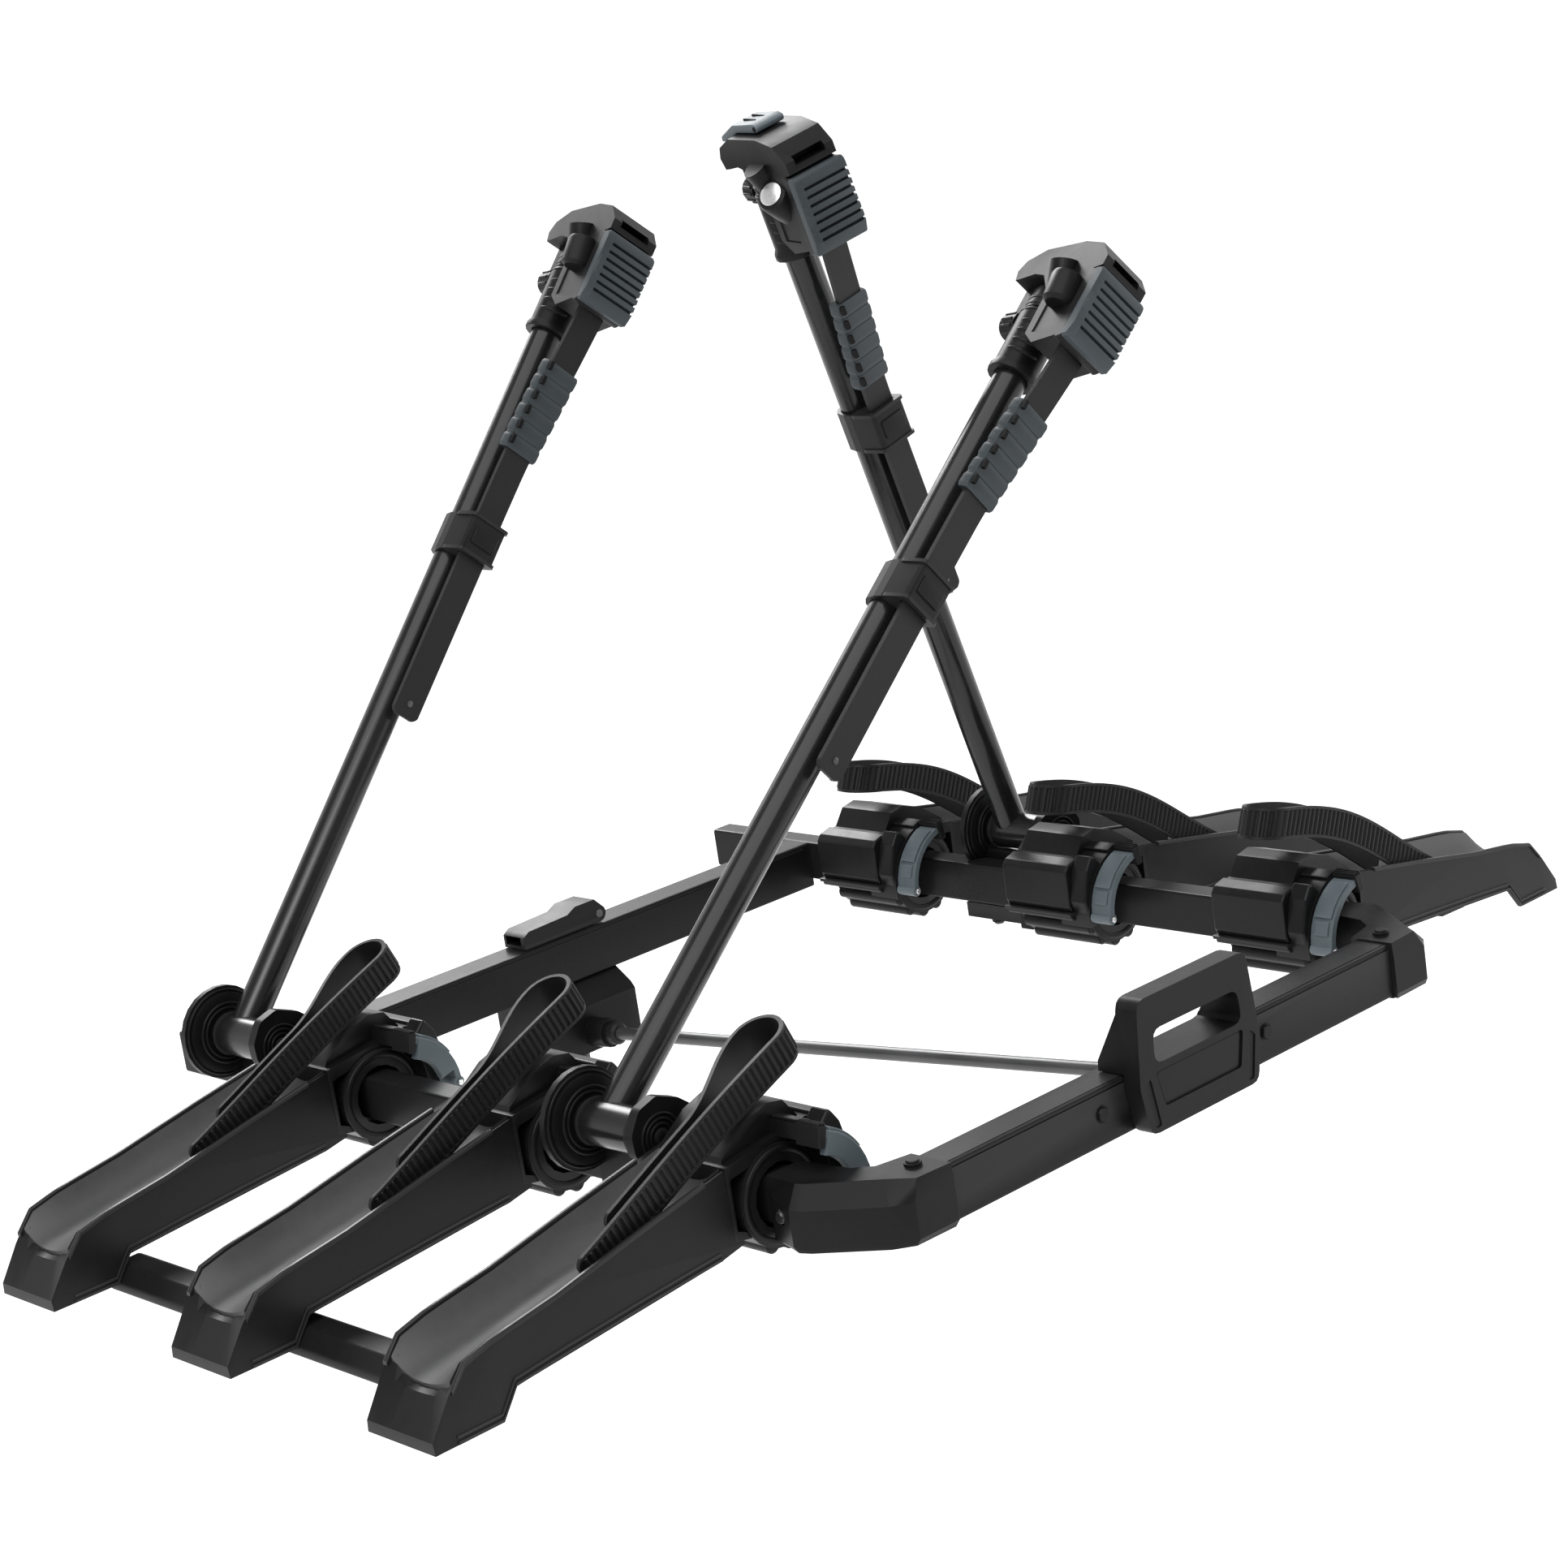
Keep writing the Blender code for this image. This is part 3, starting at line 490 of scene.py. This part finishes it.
def dress_handle():
    """The carry handle, thinned at its flanks and back, with a blank panel."""
    flank = join(
        prism(rounded([(-52, 92), (-46, 92), (-52, 128), (-58, 122)], 2), "y", -724, -721),
        prism(rounded([(52, 92), (46, 92), (52, 128), (58, 122)], 2), "y", -724, -721),
    )
    taper = prism([(-684, 136), (-676, 136), (-676, 190), (-704, 190), (-703, 172)], "x", -80, 80)
    dress("carry_handle", "plastic", 3.2, join(flank, taper))
    lip = prism(rounded([(-38.5, 105.5), (38.5, 105.5), (44, 128.5), (-44, 128.5)], 3), "y", -720.6, -719.9)
    piece("handle_panel", lip, "handle", "powder", bevel=0.2)


# ---------------------------------------------------------------- trays


TRAY_HALF = 34  # half of a tray's width
BEAD_LINE = ((566, 56), (531.5, 56), (518, 74), (477.5, 78), (404.5, 84), (345.5, 88))  # out, height
RIM_LINE = ((564, 88.5), (552, 102), (531.5, 107.5), (517.5, 110), (477.5, 116), (404.5, 131), (350, 141.3))
RIM_SECTION = ((-2, -1.4), (-1.9, 0.7), (-0.9, 1.5), (1.1, 1.5), (1.9, 0.7), (2, -1.4))  # y, height
FAR_RISE = 5  # how much higher the far rim is than the near one
LOBE_ANGLES = (208, 236, 264, 292)
LOBE_REACH, LOBE_RADIUS = 33, 6

TROUGH_HALF = 29.5
TROUGH_CURVE = 2.2  # the power by which the floor curves up to the rims
TROUGH = (
    (561, 93, 85), (552, 102, 86.5), (531.5, 107.5, 90), (517.5, 110, 92),
    (477.5, 116, 99), (404.5, 131, 111), (345.5, 142, 125), (332, 145, 131),
)  # out, rim height and floor height along the trough
LINER_SHARE = 0.97  # of the trough's width
LINER_STEPS = 20
LINER_OVER, LINER_UNDER = 2.2, 1.2  # above and below the trough's curve


def dress_trays():
    for word, side in SIDES.items():
        body = f"{word}_trays"
        for number, y in enumerate(TRAY_Y, start=1):
            place = on_side(side, y)
            name = f"{word}_tray_{number}"
            dress(name, "tray", 0.9)
            tray_detail(name, place, body)
            trough_liner(name, place, body)
            wheel_strap(word, side, number, place, body)
            buckle(word, number, place, body)
            nose_cover(name, place, body)
        dress(f"{word}_link_bar", "plastic", 2.0)


def tray_detail(name, place, body):
    """Beads along the walls, rims along the trough, and lobes and a ring at the hub end."""
    beads = []
    for out in (-1, 1):
        for rise, size in ((0.4, 1.5), (4.2, 1.1)):
            outline = [(-0.6, -size), (size * 0.8, -size * 0.6), (size * 0.8, size * 0.6), (-0.6, size)]
            section = [(out * a, b) for a, b in outline]
            beads.append(bar(BEAD_LINE, out * TRAY_HALF, rise + 1, section))
    piece(name + "_beads", join(*beads), body, "tray", place)
    rim_y = TRAY_HALF - 1.6
    rims = [bar(RIM_LINE, y, lift, RIM_SECTION) for y, lift in ((-rim_y, 0.2), (rim_y, FAR_RISE))]
    piece(name + "_rims", join(*rims), body, "tray", place)
    hub = []
    for degrees in LOBE_ANGLES:
        turn = math.radians(degrees)
        x, z = SIDE_OUT + LOBE_REACH * math.cos(turn), HUB_Z + LOBE_REACH * math.sin(turn)
        hub.append(rod(LOBE_RADIUS, (x, -35, z), (x, 37, z), 28, 1.5))
    hub.append(ring(28, 33, 1.6, (SIDE_OUT, -35.4, HUB_Z), (0, -1, 0), 48))
    piece(name + "_hub_ribs", join(*hub), body, "plastic", place)


def trough_liner(name, place, body):
    """The smooth skin of the wheel trough, with its far edge a little higher."""
    loops = []
    for u, top, low in TROUGH:
        rise = min(FAR_RISE, (top - low) / 2)
        upper, lower = [], []
        for i in range(LINER_STEPS + 1):
            t = LINER_SHARE * (2 * i / LINER_STEPS - 1)
            rim = top - 1 + rise * (t + 1) / 2
            y, z = TROUGH_HALF * t, low + max(rim - low, 0) * abs(t) ** TROUGH_CURVE
            upper.append((u, y, z + LINER_OVER))
            lower.append((u, y, z - LINER_UNDER))
        loops.append(upper + lower[::-1])
    # The skin carries the lighter trough finish, a painted sheen.
    piece(name + "_trough", skin(loops), body, "trough", place, angle=50)


def smooth_step(t):
    """0 to 1 with a level start and end."""
    t = min(max(t, 0), 1)
    return t * t * (3 - 2 * t)


def loop_points(side):
    """The wheel strap's centre line: out along the near side, round the bend and back."""
    start = Vector((424.5, 0, 127))
    along = Vector((-math.cos(LOOP_RISE), 0, math.sin(LOOP_RISE)))
    across = Vector((math.sin(LOOP_RISE), 0, math.cos(LOOP_RISE)))
    bend = math.pi * LOOP_RADIUS
    first, last = LOOP_TURN - LOOP_START, LOOP_TURN - LOOP_FAR + 60
    total = first + bend + last
    span = LOOP_TURN + LOOP_RADIUS - LOOP_NEAR
    points = []
    for i in range(int(total / STRAP_STEP) + 1):
        s = i * STRAP_STEP
        if s < first:
            u, y = LOOP_START + s, -LOOP_RADIUS
        elif s < first + bend:
            angle = (s - first) / LOOP_RADIUS - math.pi / 2
            u, y = LOOP_TURN + LOOP_RADIUS * math.cos(angle), LOOP_RADIUS * math.sin(angle)
        else:
            back = s - first - bend
            u, y = LOOP_TURN - back, LOOP_RADIUS - LOOP_PINCH[side] * smooth_step(back / 85)
        lift = LOOP_BOW[side] * math.sin(math.pi * (u - LOOP_NEAR) / span)
        points.append(start + along * u + across * lift + Vector((0, LOOP_MIDDLE_Y + y, 0)))
    return points, across


def wheel_strap(word, side, number, place, body):
    """A ladder strap in place of the plain one."""
    points, across = loop_points(side)
    mesh = ladder(points, across, 24, (-1.5, 0.2, 1.4, 2.0))
    made = piece(f"{word}_ladder_strap_{number}", mesh, body, "rubber", place, angle=30)
    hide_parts(f"{word}_wheel_strap_{number}")


BUCKLE_PIVOT_IN = 45  # from the hub axis to the lever's pin


def buckle(word, number, place, body):
    """The buckle's serrated frame, its lever with a raised plate, and its pin."""
    hub = (SIDE_OUT, HUB_Z)
    lever_body = f"{word}_buckle_{number}"
    dress(f"{word}_buckle_lever_{number}", "accent", 0.8)
    plate = join(
        prism(sector(47.4, 49.4, 112, 150, hub), "y", -70, -54.4),
        prism(sector(47.4, 48.6, 153, 166, hub), "y", -68.5, -56),
    )
    if word == "left":
        cheek = prism(sector(31, 47.5, 108, 166, hub), "y", -72.6, -66, 1.2)
        plate = join(plate, cheek)
    piece(f"{word}_buckle_plate_{number}", plate, lever_body, "accent", place, bevel=0.5)
    teeth = [prism(sector(50, 52.4, a, a + 1.4, hub, 3), "y", -73, -52) for a in (97.6, 100.4, 103.2)]
    cap = join(
        prism(sector(36, 50.6, 97, 105.5, hub, 6), "y", -73.5, -51.6),
        *teeth,
        prism(sector(49.4, 51.4, 100, 112, hub, 6), "y", -51.4, -24),
    )
    piece(f"{word}_buckle_cap_{number}", cap, body, "plastic", place, bevel=0.5)
    pin_out = SIDE_OUT - BUCKLE_PIVOT_IN
    pin = rod(2.2, (pin_out, -74.2, HUB_Z), (pin_out, -71.9, HUB_Z), 16, 0.5)
    piece(f"{word}_buckle_pin_{number}", pin, lever_body, "silver", place)


NOSE_FRONT = [(254, 158), (240.5, 154.5), (236.5, 150), (236.2, 121), (238.5, 116), (254, 116)]
UPPER_LEDGE = [(254, 116.2), (234.2, 116.2), (234.6, 113.2), (254, 111.6)]
LOWER_LEDGE = [(254, 111.4), (236.8, 112.4), (238, 109.6), (254, 107.4)]
NOSE_FIN = [(252, 162), (244, 151), (237.5, 126), (242, 111), (256, 111), (264, 150)]  # all out, height


def nose_cover(name, place, body):
    """The boxed inner end of a tray: a rounded box over a stepped ledge, with a fin by the buckle."""
    cover = prism(rounded(NOSE_FRONT, 2.5, 3), "y", -TRAY_HALF - 0.6, TRAY_HALF + 0.6, 1.2)
    fin = prism(rounded(NOSE_FIN, 3, 3), "y", -50.8, -TRAY_HALF, 1.5)
    piece(name + "_nose_cover", join(cover, fin), body, "tray", place, bevel=0.8)
    ledge = join(
        prism(rounded(UPPER_LEDGE, 0.8, 2), "y", -TRAY_HALF - 2, TRAY_HALF + 2, 0.6),
        prism(rounded(LOWER_LEDGE, 0.8, 2), "y", -TRAY_HALF - 1.2, TRAY_HALF + 1.2, 0.6),
    )
    piece(name + "_nose_ledge", ledge, body, "tray", place)


# ---------------------------------------------------------------- arms


def dress_bracket(number):
    """Rings on the bracket's flanges, and its screws."""
    dress(f"arm{number}_bracket", "plastic", 1.0)
    place = on_side(ARMS[number - 1]["side"], ARM_Y[number - 1])
    inner_face, rim_face, far_face, near_face = [(ARM_OUT, y, ARM_Z) for y in (19.4, 23.8, 28.8, -52.8)]
    far = [ring(r, r + 2.6, 1.5, inner_face, (0, -1, 0), 56) for r in (18, 21.6)]
    far.append(ring(31.4, 33.8, 1.4, rim_face, (0, -1, 0), 56))
    far += [ring(r, r + 3.2, 1.5, far_face, (0, 1, 0), 56) for r in (8, 14, 20, 26)]
    piece(f"arm{number}_flange_rings", join(*far), "frame", "plastic", place)
    near = [ring(r, r + 2.4, 1.3, near_face, (0, -1, 0), 48) for r in (7.5, 11, 14.5)]
    near.append(turned([(5.8, 0), (5.6, 1.6), (3.6, 2.6), (0.6, 2.8)], near_face, (0, -1, 0), 32))
    piece(f"arm{number}_near_rings", join(*near), "frame", "plastic", place)
    screws = join(
        socket_bolt(4.4, 2.4, (294, 8, 77.2), (0, 0, -1)),
        socket_bolt(4.2, 2.2, (309.2, -20, 110), (1, 0, 0)),
    )
    piece(f"arm{number}_clamp_screws", screws, "frame", "steel", place)


def dress_shaft(number):
    """Ribs on the collar, a lip at each end of the strap keeper, and ridges on the barrel."""
    arm = ARMS[number - 1]
    place, body = on_arm(number), f"arm{number}"
    collar, keeper = arm["collar"], arm["keeper"]
    dress(f"arm{number}_tube", "tube", 0.6)
    dress(f"arm{number}_inner_tube", "tube", 0.4)
    dress(f"arm{number}_grip_collar", "plastic", 1.0)
    dress(f"arm{number}_strap_keeper", "plastic", 1.0)
    ribs = []
    for i in range(4):
        for middle in (-138, 42):
            ribs.append(arc_rib(17, collar - 14 - 8.5 * i, middle - 44, 88, 4.6, 1.3))
    ribs.append(ring(15.2, 17.4, 1.0, (0, 0, collar - 3.2), (0, 0, 1)))
    piece(f"arm{number}_collar_ribs", join(*ribs), body, "plastic", place, angle=60)
    ridge = block((-12, 12), (-35.4, -33.4), (keeper + 9, keeper + 23), 2.5, 0.5)
    outside = rounded(rectangle(-18.8, 18.8, -35.2, -9.6), 4)
    strap_room = rounded(rectangle(-13.4, 13.4, -30.4, -23.6), 0.6)
    lips = [frame_ring(outside, strap_room, low, low + 2.8) for low in (keeper - 0.4, keeper + 29.6)]
    piece(f"arm{number}_keeper_ridges", join(ridge, *lips), body, "plastic", place, angle=50)
    barrel = [square_ridge(15.4, 1.5, y, (0, 0, 0), (0, 1, 0)) for y in (-41.5, -36.5, 12.5)]
    piece(f"arm{number}_barrel_ridges", join(*barrel), body, "plastic", place)


def frame_ring(outer, inner, low, high):
    """A flat frame between two outlines with the same number of points."""
    loops = []
    for line, h in ((outer, low), (outer, high), (inner, high), (inner, low)):
        loops.append([(u, v, h) for u, v in line])
    return skin(loops, closed=True)


def arc_rib(radius, height, start, sweep, width, rise):
    """A raised rounded rib round part of a tube."""
    loops = []
    steps = 22
    for i in range(steps + 1):
        t = i / steps
        angle = math.radians(start + sweep * t)
        taper = math.sin(math.pi * t) ** 0.35
        direction = Vector((math.cos(angle), math.sin(angle), 0))
        half = width / 2 * max(taper, 0.2)
        loop = []
        for a, b in ((-1, -0.5), (-0.75, 0.5), (-0.3, 1), (0.3, 1), (0.75, 0.5), (1, -0.5)):
            lift = max(b, 0) * rise * taper - (0.5 if b < 0 else 0)
            loop.append(direction * (radius + lift) + Vector((0, 0, height + a * half)))
        loops.append(loop)
    return skin(loops)


ROUTE_SMOOTHING = 14  # how many points to each side a corner of the route is spread over
SLEEVE_LOW, SLEEVE_HIGH = 166, 84  # below the collar
SLEEVE_SEGMENTS = 6


def strap_route(number):
    """The frame strap's centre line, closely spaced, from its loose end to the head."""
    arm = ARMS[number - 1]
    collar = arm["collar"]
    aside = 57 * math.sin(math.radians(arm["swivel"]))
    corners = [
        (0, -27, arm["tail"]),
        (0, -27, arm["keeper"] + KEEPER_LENGTH + 8),
        (aside * 0.15, -29.5, collar - SLEEVE_LOW),
        (aside * 0.4, -38, collar - 124),
        (aside * 0.7, -47, collar - SLEEVE_HIGH),
        (aside * 1.02, -56.5, collar - 36),
    ]
    corners = [Vector(c) for c in corners]
    length = sum((b - a).length for a, b in zip(corners, corners[1:]))
    points = []
    for i in range(int(length / STRAP_STEP) + 1):
        left = i * STRAP_STEP
        for a, b in zip(corners, corners[1:]):
            span = (b - a).length
            if left <= span:
                points.append(a + (b - a) * (left / span))
                break
            left -= span
    smoothed = []
    for i in range(len(points)):
        window = min(ROUTE_SMOOTHING, i, len(points) - 1 - i)
        near = points[i - window : i + window + 1]
        smoothed.append(sum(near, Vector()) / len(near))
    return smoothed


def segment_section(ends):
    """Across a sleeve segment, a little smaller near its two ends."""
    swell = 1 - 0.07 * max(0, 1 - ends / 1.5)
    return rounded(rectangle(-17 * swell, 17 * swell, -5 * swell, 5.2 * swell), 1.6, 2)


def sleeve(points, section):
    """A skin along the strap; section gives its outline from the number of points to the nearer end."""
    last = len(points) - 1
    loops = []
    for i, point in enumerate(points):
        forward = (points[min(i + 1, last)] - points[max(i - 1, 0)]).normalized()
        outward = Vector((-1, 0, 0)).cross(forward).normalized()
        outline = section(min(i, last - i))
        loops.append([point + Vector((a, 0, 0)) + outward * (b + 1) for a, b in outline])
    return skin(loops)


def dress_strap(number):
    """A ladder strap in place of the plain one, its rubber sleeve and the rivet at its loose end."""
    place, body = on_arm(number), f"head{number}"
    points = strap_route(number)
    band = ladder(points, (-1, 0, 0), 25, (-2.2, 0.8, 1.6, 2.3))
    made = piece(f"arm{number}_ladder_strap", band, body, "rubber", place, angle=30)
    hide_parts(f"arm{number}_frame_strap")
    collar = ARMS[number - 1]["collar"]
    stretch = [p for p in points if collar - SLEEVE_LOW <= p.z <= collar - SLEEVE_HIGH]
    size = len(stretch) // SLEEVE_SEGMENTS
    segments, marks = [], []
    for k in range(SLEEVE_SEGMENTS):
        part = stretch[k * size : (k + 1) * size]
        segments.append(sleeve(part, segment_section))
        x, y, z = part[len(part) // 2]
        marks.append(block((x - 16.4, x - 13.2), (y - 8, y - 5), (z - 3.4, z + 3.4)))
    core = rounded(rectangle(-16.2, 16.2, -4.3, 4.5), 1.6, 2)
    segments.append(sleeve(stretch[: SLEEVE_SEGMENTS * size - 1], lambda ends: core))
    piece(f"arm{number}_strap_sleeve", join(*segments), body, "accent_rubber", place, angle=50)
    piece(f"arm{number}_sleeve_marks", join(*marks), body, "dark", place)
    tip = points[6]
    rivet_profile = [(2.6, -0.5), (2.6, 0.7), (1.8, 1.3), (0.4, 1.4)]
    rivet = turned(rivet_profile, (tip.x, tip.y - 2, tip.z + 4), (0, -1, 0), 20)
    piece(f"arm{number}_strap_rivet", rivet, body, "steel", place)


def pad_outline(serrated, back):
    """The pad from the side, (y, height), its front face flat or cut into ribs."""
    front_low, front_high, face, depth = -33, 14.5, -78, 4.2
    ribs = 7
    pitch = (front_high - front_low) / ribs
    points = [(back, -43), (back, 19.4), (-75, 19.4), (-77.4, 17.2)]
    for k in range(ribs):
        top = front_high - pitch * k
        inner = face + (depth if serrated else 0)
        low = top - pitch
        points += [(face, top), (face, low + 2.5), (inner, low + 2.1), (inner, low + 0.3)]
    points += [(face, front_low - 0.2), (-74, -43)]
    return points


def inset(outline, middle, by):
    """The outline with every point moved towards the middle."""
    return [tuple(Vector(p) + (middle - Vector(p)).normalized() * by) for p in outline]


def dress_pad(number, place, body):
    """The ribbed pad, flat along one edge, on a dark carrier."""
    collar = ARMS[number - 1]["collar"]
    plain, ribbed = pad_outline(False, -69.5), pad_outline(True, -69.5)
    middle = Vector((-72, -12))
    levels = [
        (inset(plain, middle, 1.6), -24),
        (plain, -22.4),
        (plain, -17.5),
        (ribbed, -17.3),
        (ribbed, 22),
        (inset(ribbed, middle, 0.8), 23.2),
    ]
    mesh = skin([[(x, y, z + collar) for y, z in line] for line, x in levels])
    made = piece(f"arm{number}_ribbed_pad", mesh, body, "accent_rubber", place, angle=30)
    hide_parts(f"arm{number}_jaw_pad")
    side = rounded([(-69, -41.5), (-60.6, -44), (-60.6, 21), (-69, 19)], 2, 2)
    carrier = prism(side, "x", -22.8, 22.4, 1.0)
    bmesh.ops.translate(carrier, verts=carrier.verts, vec=(0, 0, collar))
    piece(f"arm{number}_pad_carrier", carrier, body, "plastic", place)


def head_cuts(collar):
    """A groove and a shallow recess in each flank of the head."""
    cuts = []
    for low, high in ((-23, -20.8), (20.8, 23)):
        cuts.append(block((low, high), (-54, -26), (collar + 1.5, collar + 3)))
    for low, high in ((-23, -21), (21, 23)):
        cuts.append(block((low, high), (-52, -30), (collar - 34, collar - 8), 2))
    return join(*cuts)


def lock(number, place, body):
    """The lock's barrel: on the right arm it shows a bright keyed disc, on the others a plain ring."""
    collar = ARMS[number - 1]["collar"]
    if number == 2:
        foot, axis, radius, reach = Vector((-9, -36, collar - 14)), Vector((-0.62, -0.34, 0.71)), 13.2, 33
    else:
        foot, axis, radius, reach = Vector((-24, -47, collar - 13)), Vector((-0.10, 0.05, 0.99)), 12.2, 26
    axis.normalize()
    shell = [
        (1, 0), (radius - 3, 0), (radius, 3), (radius, reach - 4),
        (radius - 1.2, reach - 1.2), (radius - 4, reach), (0.5, reach),
    ]
    barrel = turned(shell, foot, axis)
    neck = rod(8, Vector((-18, -34, collar - 2)), foot + axis * 12, 20)
    piece(f"arm{number}_lock_cap", join(barrel, neck), body, "plastic", place)
    top = foot + axis * reach
    if number == 2:
        disc = turned([(9.2, -0.4), (9.2, 0.5), (8.4, 0.9), (0.5, 0.9)], top, axis)
        key = turned([(2.0, 0.6), (2.0, 1.3)], top, axis, 4)
        piece(f"arm{number}_lock_disc", join(disc, key), body, "silver", place)
    else:
        plain = ring(radius - 6.5, radius - 4.5, 0.7, top - axis * 0.2, axis)
        piece(f"arm{number}_lock_disc", plain, body, "plastic", place)


KNOB_FLUTES = 12


def knob(number, place, body):
    """The ridged knob at the back of the head."""
    height = ARMS[number - 1]["collar"] - 4
    parts = [turned([(9.6, 0.2), (9.6, 1.4), (8, 2.6), (1, 3.1)], (0, 34.8, height), (0, 1, 0), 32)]
    for x, z in circle(10.4, KNOB_FLUTES, (0, height)):
        parts.append(rod(1.2, (x, 22, z), (x, 33.6, z), 8, 0.5))
    piece(f"arm{number}_knob_grip", join(*parts), body, "plastic", place)


def dress_head(number):
    """The head with its pad, lock and knob, and the ratchet lever's hinge and slits."""
    place, body = on_arm(number, head=True), f"head{number}"
    collar = ARMS[number - 1]["collar"]
    dress_pad(number, place, body)
    dress(f"arm{number}_head_housing", "plastic", 1.6, head_cuts(collar), place)
    dress(f"arm{number}_ratchet_lever", "accent", 1.2)
    lock(number, place, body)
    knob(number, place, body)
    neck = [square_ridge(15.2, 0.8, h, (0, 0, collar), (0, 0, 1)) for h in (3, 8)]
    piece(f"arm{number}_neck_ridges", join(*neck), body, "plastic", place)
    hinge = rod(2.2, (-13.6, -26, collar + 53), (13.6, -26, collar + 53), 16, 0.5)
    slits = [block((x - 0.6, x + 0.6), (-16, 2), (collar + 55.2, collar + 57)) for x in (-4, 4)]
    piece(f"arm{number}_ratchet_hinge", join(hinge, *slits), f"ratchet{number}", "dark", place)


# ---------------------------------------------------------------- studio


FLOOR_DROP = 0.55  # the carrier hangs on the ball; its rear end swings down this far when it tilts
FLOOR_HALF = 60
SKY_DIRECTION = (-0.30, -0.36, 1.0)
SKY_BRIGHT, SKY_DIM = 1.05, 0.30


def aimed_light(name, kind, power, direction):
    """A light that shines along a direction."""
    data = bpy.data.lights.new(name, kind)
    data.energy = power
    made = bpy.data.objects.new(name, data)
    made.rotation_mode = "QUATERNION"
    made.rotation_quaternion = Vector(direction).to_track_quat("-Z", "Y")
    bpy.context.scene.collection.objects.link(made)
    return made


def area_light(name, place, size, power):
    """A square lamp aimed at the middle of the carrier."""
    made = aimed_light(name, "AREA", power, Vector((0, -0.3, 0.25)) - Vector(place))
    made.location = place
    made.data.shape, made.data.size = "SQUARE", size


def sun_light(name, direction, angle, power):
    aimed_light(name, "SUN", power, direction).data.angle = math.radians(angle)


def sky():
    """A white sky that dims towards one side overhead."""
    world = bpy.data.worlds.new("studio")
    bpy.context.scene.world = world
    world.use_nodes = True
    tree = world.node_tree
    shader = tree.nodes["Background"]
    shader.inputs["Color"].default_value = (1, 1, 1, 1)
    towards = node(tree, "VectorMath", operation="DOT_PRODUCT")
    tree.links.new(node(tree, "TexCoord").outputs["Generated"], towards.inputs[0])
    towards.inputs[1].default_value = SKY_DIRECTION
    strength = spread(tree, towards.outputs["Value"], 0.05, 0.55, SKY_BRIGHT, SKY_DIM)
    tree.links.new(strength, shader.inputs["Strength"])


def floor():
    half, height = FLOOR_HALF, CAD_BOX[0].z - FLOOR_DROP
    mesh = bmesh.new()
    mesh.faces.new([mesh.verts.new((x, y, height)) for x, y in rectangle(-half, half, -half, half)])
    data = bpy.data.meshes.new("floor")
    mesh.to_mesh(data)
    mesh.free()
    made = bpy.data.objects.new("floor", data)
    data.materials.append(look("pale_floor", (0.90, 0.90, 0.90), (0.94, 0.94, 0.94), 0.7, 60, 0.05))
    bpy.context.scene.collection.objects.link(made)


def studio():
    bpy.context.scene.view_settings.view_transform = "Standard"
    sky()
    floor()
    sun_light("sky_light", (0.35, 0.25, -1), 70, 2.1)
    sun_light("sheen_light", (-0.39, -0.73, -0.56), 26, 1.0)
    area_light("key", (-2.8, -1.4, 2.6), 1.4, 26)
    area_light("fill", (2.6, -2.0, 1.2), 1.4, 14)
    area_light("back", (1.4, 3.4, 2.8), 2.4, 70)


CAMERA_PLACE = (-1.5705, -2.127, 0.870)
CAMERA_AXES = (  # its right, up and back directions are the columns
    (0.7189, 0.2676, -0.6415),
    (-0.6800, 0.0791, -0.7289),
    (-0.1443, 0.9603, 0.2388),
)


def camera():
    data = bpy.data.cameras.new("camera")
    data.lens, data.sensor_width = 75.23, 36
    made = bpy.data.objects.new("camera", data)
    turn = Matrix(CAMERA_AXES).to_quaternion().to_matrix().to_4x4()
    made.matrix_world = Matrix.Translation(CAMERA_PLACE) @ turn
    bpy.context.scene.collection.objects.link(made)
    bpy.context.scene.camera = made


# ---------------------------------------------------------------- the whole carrier

dress_beams()
dress_castings()
dress_coupling()
dress_handle()
dress_trays()
for arm_number in (1, 2, 3):
    dress_bracket(arm_number)
    dress_shaft(arm_number)
    dress_strap(arm_number)
    dress_head(arm_number)
studio()
camera()
